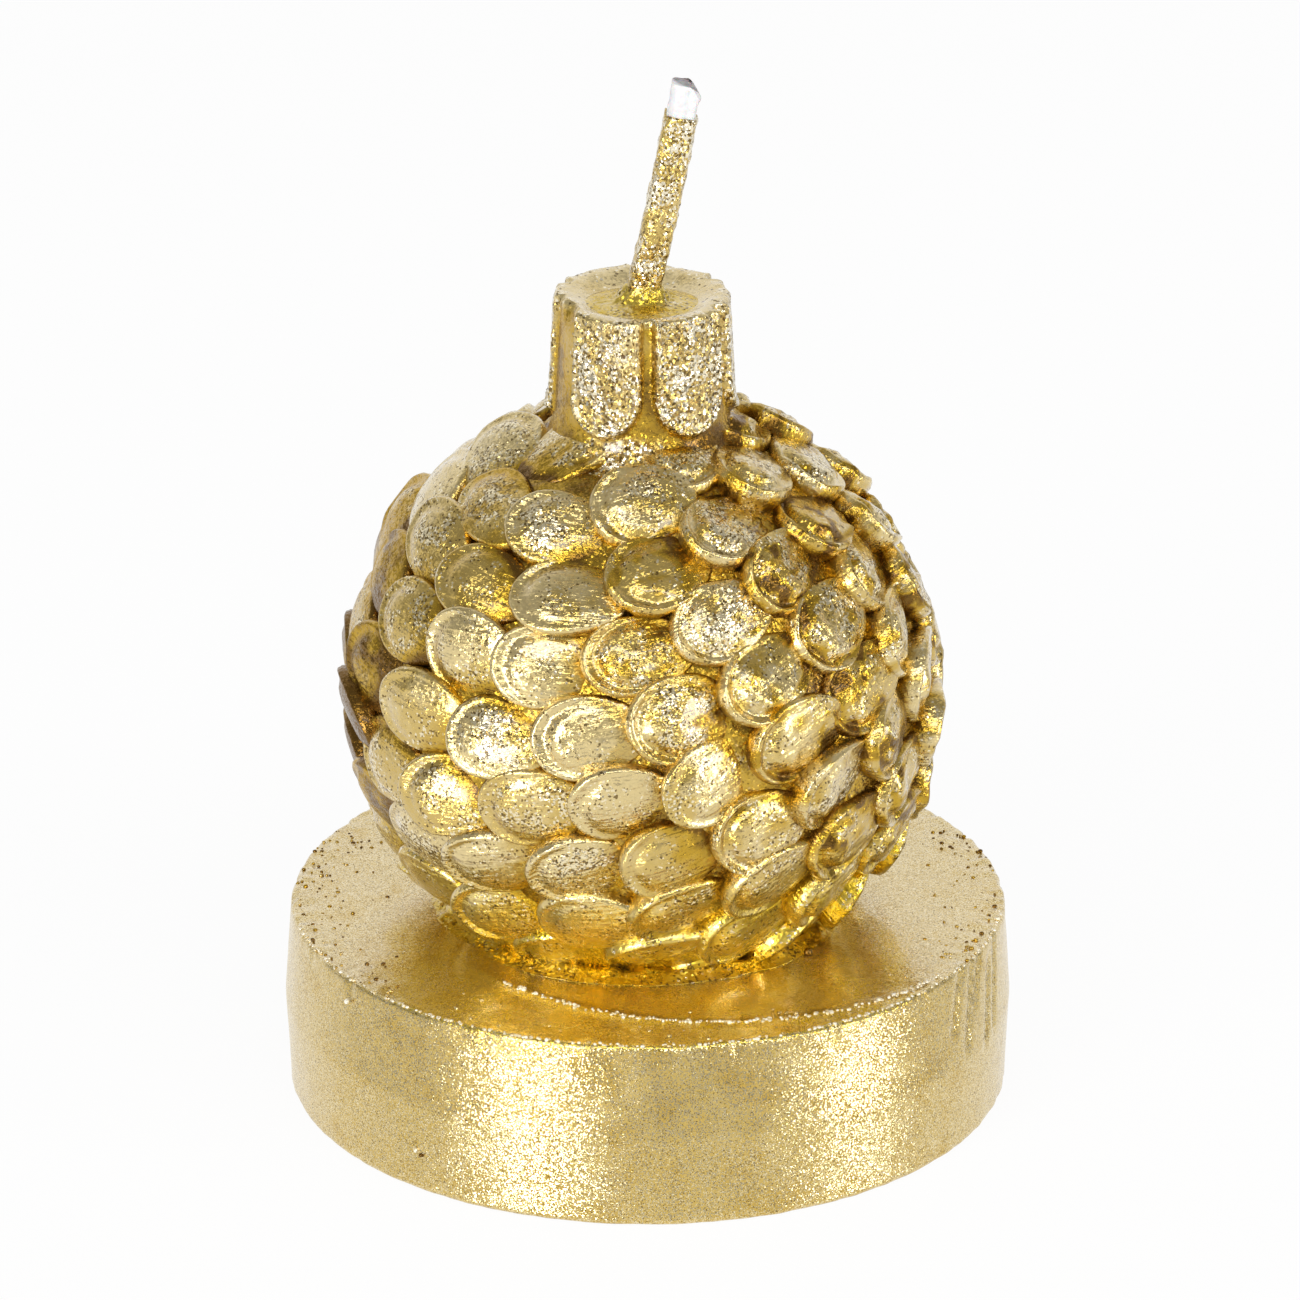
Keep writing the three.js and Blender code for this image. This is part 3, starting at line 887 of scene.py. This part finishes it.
# %% Places of the scales
WHORL_LEAN = math.radians(18.5)
WHORL_DIRECTION = math.radians(231)
FIRST_ROW = math.radians(19.5)
ROW_STEP = math.radians(14.1)
SCALE_PITCH = 5.0 * MM
# Where each row starts, in degrees round the leaning axis
ROW_STARTS = [-23, -14, -19, -10, -5, 2, 1, 14, 3, 18]

axis = Matrix.Rotation(WHORL_DIRECTION, 3, "Z") @ Vector((math.sin(WHORL_LEAN), 0, math.cos(WHORL_LEAN)))
front = (Vector((0, -1, 0)) + axis * axis.y).normalized()
side = axis.cross(front)


def whorl_place(polar, turn):
    """A direction from the ball's centre, by the angle from the axis and the turn round it."""
    flat = front * math.cos(turn) + side * math.sin(turn)
    return axis * math.cos(polar) + flat * math.sin(polar)


whorl = [(math.radians(4), math.radians(200))]
for row, row_start in enumerate(ROW_STARTS):
    polar = FIRST_ROW + ROW_STEP * row
    around = math.floor(math.tau * RELIEF_RADIUS * math.sin(polar) / SCALE_PITCH + 0.5)
    whorl += [(polar, math.radians(row_start) + math.tau * index / around) for index in range(around)]
print("places:", len(whorl))

# %% The core of the ball
WEB_DEPTH = 0.15 * MM
FOOT_SWELL = 0.60 * MM
WEB_UNEVEN = 0.08 * MM
# The web's low crest makes it deep gold and brown: painted shade between the scales
WEB_CREST = 0.15
WEB_FLECKS = 0.8

ball_bm = bmesh.new()
layers = paint_layers(ball_bm, "crest", "flecks", "amber")
layers["scale_place"] = ball_bm.verts.layers.float_vector.new("scale_place")
bmesh.ops.create_icosphere(ball_bm, subdivisions=6, radius=CORE_RADIUS - WEB_DEPTH,
                           matrix=Matrix.Translation(BALL_CENTRE))
for vert in ball_bm.verts:
    away = (vert.co - BALL_CENTRE).normalized()
    swell = FOOT_SWELL * ease(-away.z, 0.55, 0.72)
    vert.co += away * (swell + WEB_UNEVEN * ripple(vert.co, 0.9 * MM))
    vert.co.z = max(vert.co.z, DISC_TOP - SUNK)
    # The web: painted shade between the scales, and at the foot a painted reflection of the disc
    paint(vert, layers, crest=WEB_CREST, flecks=WEB_FLECKS, amber=FOOT_AMBER * ease(-away.z, 0.40, 0.80))
print("core:", len(ball_bm.verts), "vertices")

# %% All the scales, row by row
ROCK = math.tan(math.radians(8.0))
PITCH = math.tan(math.radians(5.5))
LEAST_RELIEF = 0.28
# EDGE_SHADE is a painted shade on the scales at the left edge
EDGE_SHADE = 0.75
# A painted highlight: the lit faces left of the middle are made paler
PAINTED_LIT_HIGHLIGHT = 0.30
FOOT_CALM = 0.65
NECK_CLEAR = 2.6 * MM
FOOT_CRUMB = (8.25 * MM, -7.57 * MM)
FOOT_CRUMB_SIZE = 0.24 * MM
FOOT_CRUMB_CREST = -0.3

rng = random.Random(23)
laid = 0
for polar, turn in whorl:
    outward = whorl_place(polar, turn)
    relief = min(max(0.62 + 0.50 * outward.x + rng.uniform(-0.30, 0.30), LEAST_RELIEF), MOST_RELIEF)
    traits = {"length": rng.uniform(0.96, 1.05), "width": rng.uniform(0.96, 1.07),
              "lift": rng.uniform(-0.09, 0.09) * MM, "relief": relief, "tone": rng.random(),
              "twist": rng.gauss(0, 0.06), "rock": rng.gauss(0, ROCK), "pitch": rng.gauss(0, PITCH),
              "rough": ease(outward.x + 0.5 * outward.z, -0.4, 0.9), "flecks": rng.uniform(0.10, 1.15)}
    # Tone that differs at random, with painted shade at the left edge and a painted highlight on the lit
    # faces
    traits["shade"] = 0.8 * (traits["tone"] - 0.5) - EDGE_SHADE * ease(-outward.x, 0.66, 0.95)
    traits["shade"] += PAINTED_LIT_HIGHLIGHT * hump(outward.x, -0.42, 0.26) * hump(outward.z, -0.05, 0.45)
    traits["flecks"] *= 1 - FOOT_CALM * ease(-outward.z, 0.35, 0.75)
    if outward.z > 0 and math.hypot(outward.x, outward.y) * RELIEF_RADIUS < NECK_CLEAR:
        continue
    tipward = Matrix.Rotation(traits["twist"], 3, outward) @ outward.cross(axis).normalized()
    add_scale(ball_bm, layers, outward, tipward, traits)
    laid += 1
crumb_place = Vector((*FOOT_CRUMB, DISC_TOP + FOOT_CRUMB_SIZE / 2))
foot_crumb = bmesh.ops.create_icosphere(ball_bm, subdivisions=2, radius=FOOT_CRUMB_SIZE,
                                        matrix=Matrix.Translation(crumb_place))
for vert in foot_crumb["verts"]:
    paint(vert, layers, crest=FOOT_CRUMB_CREST)
print("scales:", laid)
finished(ball_bm, "scaled_ball", scale_gold, "bauble")

# %% [markdown]
# ## Foot bead
# Where the ball was pressed onto the warm disc, wax squeezed out into a thin uneven bead. It
# is a small turned fillet whose height and width wander round the ball.

# %% Foot bead
BEAD_INNER = 9.0 * MM
BEAD_CREST = 10.35 * MM
BEAD_OUTER = 11.3 * MM
BEAD_HEIGHT = 0.40 * MM
BEAD_HIGHEST = 0.45 * MM
BEAD_SUNK = 0.06 * MM
BEAD_HOLLOW = 1.7
BEAD_TONE = 0.4
BEAD_POINTS = 12
BEAD_STEPS = 260

bead_foot = DISC_TOP - BEAD_SUNK
bead_points = between((BEAD_INNER, bead_foot), (BEAD_OUTER, bead_foot), 3)
for index in range(BEAD_POINTS):
    share = index / BEAD_POINTS
    radius = BEAD_OUTER + (BEAD_CREST - BEAD_OUTER) * share
    bead_points.append((radius, bead_foot + (BEAD_HEIGHT + BEAD_SUNK) * share ** BEAD_HOLLOW))
bead_points += between((BEAD_CREST, DISC_TOP + BEAD_HEIGHT), (BEAD_INNER, DISC_TOP + BEAD_HEIGHT), 3)
bead_points.append((BEAD_INNER, DISC_TOP + BEAD_HEIGHT))
bead_bm = spun(bead_points, BEAD_STEPS, closed=True)
bead_layers = paint_layers(bead_bm, "crest")
for vert in bead_bm.verts:
    x, y, z = vert.co
    swell = 0.75 + 0.5 * ripple((x, y, 0), 1.1 * MM) + 0.4 * ripple((x, y, z), 0.45 * MM, 4.0)
    spread = 1 + 0.02 * ripple((x, y, 0), 1.6 * MM, 8.0)
    if z >= DISC_TOP:
        z = DISC_TOP + min((z - DISC_TOP) * max(swell, 0.2), BEAD_HIGHEST)
    vert.co = Vector((x * spread + STACK_X, y * spread, z))
    paint(vert, bead_layers, crest=BEAD_TONE)
finished(bead_bm, "pressed_bead", seal_gold, "foot_bead")

# %% [markdown]
# ## Neck
# The neck copies an ornament's cap: six raised tongues with rough glittery faces, smooth
# grooves between them, and a foot that flares into the ball. Its top was cut off by hand,
# and wax has run into a shallow crater there. The tongues are one function of angle and
# height, which pushes out a finely turned post.

# %% Neck profile
NECK_RADIUS = 4.5 * MM
NECK_FOOT_RADIUS = 4.9 * MM
NECK_EDGE = 0.3 * MM
NECK_BOTTOM = neck_low.z
FLARE_RADIUS = 6.1 * MM
FLARE_DROP = 0.75 * MM
CRATER_RADIUS = 3.3 * MM
CRATER_DEPTH = 0.5 * MM
DISH_RADIUS = 4.0 * MM
NECK_STEPS = 240
NECK_ROWS = 56

neck_points = [(0, NECK_BOTTOM), (NECK_FOOT_RADIUS * 0.5, NECK_BOTTOM)]
neck_points += between((FLARE_RADIUS, NECK_BOTTOM - FLARE_DROP), (NECK_FOOT_RADIUS, NECK_BOTTOM), 4)
neck_points += between((NECK_FOOT_RADIUS, NECK_BOTTOM), (NECK_RADIUS, NECK_TOP - NECK_EDGE), NECK_ROWS)
neck_points += rounded((NECK_RADIUS - NECK_EDGE, NECK_TOP - NECK_EDGE), NECK_EDGE, 0, 90, 5)
for radius, _ in between((NECK_RADIUS - NECK_EDGE, NECK_TOP), (0, NECK_TOP), 24):
    dish = ease(-radius, -DISH_RADIUS, -CRATER_RADIUS + MM)
    neck_points.append((radius, NECK_TOP - CRATER_DEPTH * dish))
neck_points.append((0, NECK_TOP - CRATER_DEPTH))
print("neck profile:", len(neck_points), "points")

# %% Tongues
TONGUES = 6
GROOVE_AZIMUTH = -56
TONGUE_RISE = 0.40 * MM
TONGUE_HALF_WIDTH = math.pi * NECK_RADIUS / TONGUES - 0.30 * MM
TONGUE_END = NECK_BOTTOM + 1.6 * MM + TONGUE_HALF_WIDTH
BORDER_RISE = 0.18 * MM
FALLING_RIDGE = -24
UPRIGHT_LINES = (-24, -17, -11)


def tongue_cover(azimuth, z):
    """One on a tongue and zero in a groove, and how far inside the tongue's edge the place is."""
    spacing = 360 / TONGUES
    across = ((azimuth - GROOVE_AZIMUTH) % spacing - spacing / 2) / 360 * math.tau * NECK_RADIUS
    if z > TONGUE_END:
        inside = TONGUE_HALF_WIDTH - abs(across)
    else:
        inside = TONGUE_HALF_WIDTH - math.hypot(across, (z - TONGUE_END) * 0.9)
    smooth_left = ease(azimuth, -90, -84) * ease(-azimuth, 47, 52)
    return ease(inside, -0.12 * MM, 0.16 * MM) * (1 - smooth_left), inside


def tongue_ridges(azimuth, z, inside):
    """The raised edge of each tongue, and on the left one a ridge that runs down to the right."""
    fall = ease(NECK_TOP - z, 0, 5.2 * MM)
    upper = ease(z, NECK_TOP - 3.5 * MM, NECK_TOP - 2 * MM)
    ridge = hump(azimuth, FALLING_RIDGE * (1 - fall), 2.0)
    for line in UPRIGHT_LINES:
        ridge += upper * hump(azimuth, line, 1.6)
    return BORDER_RISE * (hump(inside, 0.24 * MM, 0.12 * MM) + ridge)


print("a tongue is", round(2 * TONGUE_HALF_WIDTH / MM, 2), "mm wide")

# %% Neck
FACE_GRAIN = 0.06 * MM
FACE_GRIT = 0.05 * MM
FLARE_RISE = 2.4 * MM
FLARE_OUT = 0.6 * MM
RIM_OUT = 0.07 * MM
RIM_UP = 0.08 * MM
NECK_CHIP = 0.45 * MM
CHIP_AZIMUTH = -66
GROOVE_TONE = 0.20
TONGUE_TONE = 0.90
# UNDER_TONE lightens the front under the tongues, a painted highlight; HOLLOW_TONE darkens a hollow at the
# right, a painted shade; TOP_TONE makes the top paler, a painted reflection of the bright room
UNDER_TONE = 0.55
HOLLOW_TONE = -0.25
TOP_TONE = 1.20
UNDER_FLECKS = 0.9
GROOVE_FLECKS = 0.06
TOP_CALM = 0.7

neck_bm = spun(neck_points, NECK_STEPS)
neck_layers = paint_layers(neck_bm, "crest", "flecks")
for vert in neck_bm.verts:
    x, y, z = vert.co
    radius = math.hypot(x, y)
    azimuth = azimuth_of(x, y)
    cover, inside = tongue_cover(azimuth, z)
    wall = ease(radius, CRATER_RADIUS + 0.4 * MM, NECK_RADIUS - 0.1 * MM)
    rim = ease(z, NECK_TOP - 0.6 * MM, NECK_TOP) * ease(radius, CRATER_RADIUS, NECK_RADIUS - NECK_EDGE)
    flare = ease(-z, -(NECK_BOTTOM + FLARE_RISE), -(NECK_BOTTOM - FLARE_DROP))
    out = cover * tongue_ridges(azimuth, z, inside) - (1 - cover) * TONGUE_RISE
    out += cover * FACE_GRAIN * ripple((x, y, z * 0.3), 0.32 * MM)
    out += cover * FACE_GRIT * ripple((x, y, z), 0.24 * MM, 5.0)
    out = (out + flare ** 2 * FLARE_OUT) * wall
    out += rim * RIM_OUT * ripple((x, y, 0), 0.7 * MM, 3.0)
    out -= NECK_CHIP * hump(azimuth, CHIP_AZIMUTH, 7) * ease(z, NECK_TOP - 1.3 * MM, NECK_TOP) * wall
    up = rim * RIM_UP * ripple((x, y, z), 0.6 * MM, 1.0)
    stretch = 1 + out / max(radius, 0.5 * MM)
    vert.co = Vector((x * stretch + STACK_X, y * stretch, min(z + up, NECK_TOP + 0.02 * MM)))
    # Under the tongues: lighter and more glittery in front, a painted highlight, and darker in a hollow at
    # the right, a painted shade
    under = (1 - cover) * ease(-z, -(NECK_BOTTOM + 1.9 * MM), -(NECK_BOTTOM + 1.0 * MM))
    middle = under * ease(-abs(azimuth + 6), -36, -22)
    tone = GROOVE_TONE + (TONGUE_TONE - GROOVE_TONE) * cover + (UNDER_TONE - GROOVE_TONE) * middle
    tone += (HOLLOW_TONE - GROOVE_TONE) * under * hump(azimuth, 48, 14)
    # The top is painted paler and calmer: a painted reflection of the bright room
    inner = ease(-radius, -NECK_RADIUS, -(NECK_RADIUS - NECK_EDGE))
    top = max(rim, inner * ease(z, NECK_TOP - 0.75 * MM, NECK_TOP - 0.55 * MM))
    on_faces = cover * wall * (1 - TOP_CALM * top)
    glitter = max(on_faces, middle * (UNDER_FLECKS + hump(azimuth, -14, 7)))
    paint(vert, neck_layers, crest=tone + (TOP_TONE - tone) * top,
          flecks=GROOVE_FLECKS + (1 - GROOVE_FLECKS) * glitter)
finished(neck_bm, "fluted_neck", neck_gold, "bauble_neck")

# %% [markdown]
# ## Pool and mound round the wick
# The wick was fixed with a drop of wax, which lies round its foot as a grainy mound and has
# run out over the crater. One turned profile makes both, and noise makes the grains.

# %% Pool and mound
MOUND_RADIUS = 1.5 * MM
POOL_RADIUS = 3.0 * MM
POOL_EDGE = 0.12 * MM
MOUND_FOOT = 0.30 * MM
POOL_FORWARD = 0.6 * MM
POOL_FLATTENED = 0.85
POOL_TONE = 0.38
MOUND_TONE = 0.60
POOL_STEPS = 120

seal_low, seal_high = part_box("neck_seal")
pool_z = seal_low.z
seal_points = [(0, pool_z), (POOL_RADIUS, pool_z)]
seal_points += between((POOL_RADIUS, pool_z + POOL_EDGE), (MOUND_RADIUS, pool_z + MOUND_FOOT), 12)
seal_points += between((MOUND_RADIUS, pool_z + MOUND_FOOT), (0.8 * MM, seal_high.z), 12)
seal_points += [(0.4 * MM, seal_high.z), (0, seal_high.z)]
seal_bm = spun(seal_points, POOL_STEPS)
seal_layers = paint_layers(seal_bm, "crest")
for vert in seal_bm.verts:
    x, y, z = vert.co
    radius = math.hypot(x, y)
    upper = ease(z, pool_z + 0.05 * MM, pool_z + 0.25 * MM)
    mound = ease(-radius, -2.2 * MM, -1.0 * MM)
    lean = 0.65 + 0.35 * math.cos(math.radians(azimuth_of(x, y) - 60))
    height = (z - pool_z) * (1 - 0.35 * mound * (1 - lean))
    grains = upper * (0.05 + 0.13 * mound * lean) * MM * ripple((x, y, z), 0.26 * MM)
    forward = POOL_FORWARD * ease(radius, 1.0 * MM, 2.6 * MM)
    vert.co = Vector((x + STACK_X, y * POOL_FLATTENED - forward, min(pool_z + height + grains, seal_high.z)))
    paint(vert, seal_layers, crest=POOL_TONE + (MOUND_TONE - POOL_TONE) * mound * lean)
finished(seal_bm, "wax_pool", seal_gold, "neck_seal")

# %% [markdown]
# ## Wick
# The wick is a flat-braided cotton that was dipped with the candle, so lacquer hides its
# weave. Its section is a soft square with a groove down the front. It is lofted: rings along
# the wick's line are bridged. Above the lacquer a short waxed end stays white.

# %% Wick line and section
CRATER_Z = NECK_TOP - CRATER_DEPTH
WICK_LEAN = math.radians(14)
WICK_CURL = math.radians(0.45) / MM
WICK_BEND = 0.5 * MM
SECTION_POINTS = 40
SQUARENESS = 3.2
GROOVES = (-68, 112)


def wick_centre(z):
    """The wick's middle at a height: upright inside the candle, then leaning to the right."""
    free = max(z - CRATER_Z, 0)
    settled = free - WICK_BEND * (1 - math.exp(-free / WICK_BEND))
    return Vector((STACK_X + math.tan(WICK_LEAN) * settled - WICK_CURL * free ** 2 / 2, 0, z))


def wick_turn(z):
    """The lean of the wick's line at a height, as an angle about Y."""
    step = 0.05 * MM
    run = wick_centre(z + step) - wick_centre(z - step)
    return math.atan2(run.x, run.z)


def section_radius(angle, base):
    """A soft square with a groove in front, a little right of the middle, and one behind."""
    rounded_sum = abs(math.cos(angle)) ** SQUARENESS + abs(math.sin(angle)) ** SQUARENESS
    groove = 0.0
    for place in GROOVES:
        apart = (math.degrees(angle) - place + 180) % 360 - 180
        groove += 0.20 * hump(apart, 0, 13)
    return base * (0.93 / rounded_sum ** (1 / SQUARENESS) - groove)


print("wick leans over by", round((wick_centre(wick_high.z).x - STACK_X) / MM, 2), "mm")

# %% Lofting along the wick


def stations(low, high, step, base, rough):
    """Evenly spaced stations between two heights: the height, base radius and roughness of each."""
    count = round((high - low) / step)
    return [(low + (high - low) * index / count, base, rough) for index in range(count + 1)]


def lofted(stops):
    """Rings at the stations, bridged into one closed tube."""
    bm = bmesh.new()
    loops = []
    for z, base, rough in stops:
        ring = bmesh.ops.create_circle(bm, segments=SECTION_POINTS, radius=base)["verts"]
        lean = Matrix.Rotation(wick_turn(z), 3, "Y")
        centre = wick_centre(z)
        for vert in ring:
            angle = math.atan2(vert.co.y, vert.co.x)
            flat = Vector((math.cos(angle), math.sin(angle), 0)) * section_radius(angle, base)
            flat *= 1 + rough * ripple((flat.x, flat.y, z), 0.35 * MM)
            vert.co = centre + lean @ flat
        loops.append({edge for vert in ring for edge in vert.link_edges})
    for lower, upper in zip(loops, loops[1:]):
        bmesh.ops.bridge_loops(bm, edges=list(lower | upper))
    for loop in (loops[0], loops[-1]):
        bmesh.ops.contextual_create(bm, geom=list(loop))
    bmesh.ops.recalc_face_normals(bm, faces=bm.faces[:])
    return bm


# %% Wick coat
COAT_RADIUS = 0.88 * MM
COAT_BOTTOM = coat_low.z - 0.5 * MM
COAT_TOP = 52.93 * MM

coat_bm = lofted(stations(COAT_BOTTOM, COAT_TOP, 0.18 * MM, COAT_RADIUS * 1.04, 0.10))
for vert in coat_bm.verts:
    top = ease(vert.co.z, COAT_TOP - 0.5 * MM, COAT_TOP)
    vert.co.z += top * 0.12 * MM * ripple((vert.co.x, vert.co.y, 0), 0.5 * MM, 2.0)
finished(coat_bm, "lacquered_wick", coat_gold, "wick_coat")

# %% [markdown]
# ## The wick's cotton
# The cotton runs on through the candle to the underside, and its bare tip was cut at a slant.
# The tip is soaked in clear wax, so it is white, a little translucent and fairly smooth.

# %% Cotton and tip
WICK_RADIUS = 0.72 * MM
TIP_TOP = 54.63 * MM
TIP_CUT = 0.75 * MM
CUT_START = COAT_TOP + 0.4 * MM
THREAD_DARK = (0.52, 0.52, 0.52, 1)
THREAD_WHITE = (0.82, 0.82, 0.83, 1)
THREADS_PER_METRE = 2500.0

tip_bm = lofted(stations(wick_low.z, COAT_TOP - 0.4 * MM, 2 * MM, WICK_RADIUS * 0.9, 0.0)
                + stations(COAT_TOP - 0.3 * MM, TIP_TOP, 0.14 * MM, COAT_RADIUS * 0.90, 0.05))
for vert in tip_bm.verts:
    if vert.co.z > CUT_START:
        across = vert.co.x - wick_centre(vert.co.z).x
        share = ease(vert.co.z, CUT_START, TIP_TOP)
        vert.co.z -= share * TIP_CUT * ease(across, 0.1 * MM, 0.85 * MM)

waxed_cotton, tree, shader = new_finish("waxed_cotton")
place = add_node(tree, "TexCoord").outputs["Object"]
threads = noise_node(tree, place, THREADS_PER_METRE, 3.0)
bump = add_node(tree, "Bump", {"Distance": 0.05 * MM, "Height": threads})
fill(tree, shader, {"Base Color": colour_mix(tree, threads, THREAD_DARK, THREAD_WHITE),
                    "Roughness": 0.35, "Subsurface Weight": 0.3, "Subsurface Scale": 0.5 * MM,
                    "Normal": bump.outputs[0]})
finished(tip_bm, "cotton_wick", waxed_cotton, "wick")

# %% [markdown]
# ## Sustainer
# Under the disc a small tinned plate holds the wick's foot, as on any tealight. The plate
# has a pressed ring, and its collar is crimped round the wick.

# %% Sustainer
PLATE_RADIUS = 6.5 * MM
PLATE_THICKNESS = 0.3 * MM
PLATE_EDGE = PLATE_THICKNESS / 2
COLLAR_INNER = 0.77 * MM
COLLAR_OUTER = 1.07 * MM
BEND_RADIUS = 0.43 * MM
PRESSED_RING = 4.2 * MM
TIN_DARK = (0.50, 0.51, 0.52, 1)
TIN_BRIGHT = (0.68, 0.69, 0.70, 1)
SPANGLES_PER_METRE = 700.0

plate_low, plate_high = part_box("wick_sustainer")
plate_z = plate_low.z
plate_top = plate_z + PLATE_THICKNESS
bend_start = COLLAR_OUTER + BEND_RADIUS
bend_top = plate_top + BEND_RADIUS
lower = between((COLLAR_INNER, plate_z), (PLATE_RADIUS - 0.1 * MM, plate_z), 24)
edge = rounded((PLATE_RADIUS - PLATE_EDGE, plate_z + PLATE_EDGE), PLATE_EDGE, -90, 90, 6)
upper = between((PLATE_RADIUS - PLATE_EDGE, plate_top), (bend_start, plate_top), 20)
bend = rounded((bend_start, bend_top), BEND_RADIUS, -90, -180, 6)
collar = between((COLLAR_OUTER, bend_top), (COLLAR_OUTER, plate_high.z), 16)
inside = between((COLLAR_INNER, plate_high.z), (COLLAR_INNER, plate_z), 16)
plate_bm = spun(lower + edge + upper + bend + collar + inside, 96, closed=True)
for vert in plate_bm.verts:
    x, y, z = vert.co
    pressed = 0.08 * MM * hump(math.hypot(x, y), PRESSED_RING, 0.35 * MM)
    crimp = ease(z, plate_z + MM, plate_z + 2 * MM) * hump(abs(math.sin(math.atan2(y, x) * 2)), 0, 0.35)
    squeeze = 1 - 0.05 * crimp
    vert.co = Vector((x * squeeze + STACK_X, y * squeeze, z + pressed))

tinned_steel, tree, shader = new_finish("tinned_steel")
place = add_node(tree, "TexCoord").outputs["Object"]
spangle = noise_node(tree, place, SPANGLES_PER_METRE, 3.0)
fill(tree, shader, {"Base Color": colour_mix(tree, spangle, TIN_DARK, TIN_BRIGHT), "Metallic": 1.0,
                    "Roughness": ranged(tree, spangle, *NOISE_MIDDLE, 0.25, 0.45)})
finished(plate_bm, "sustainer_plate", tinned_steel, "wick_sustainer")
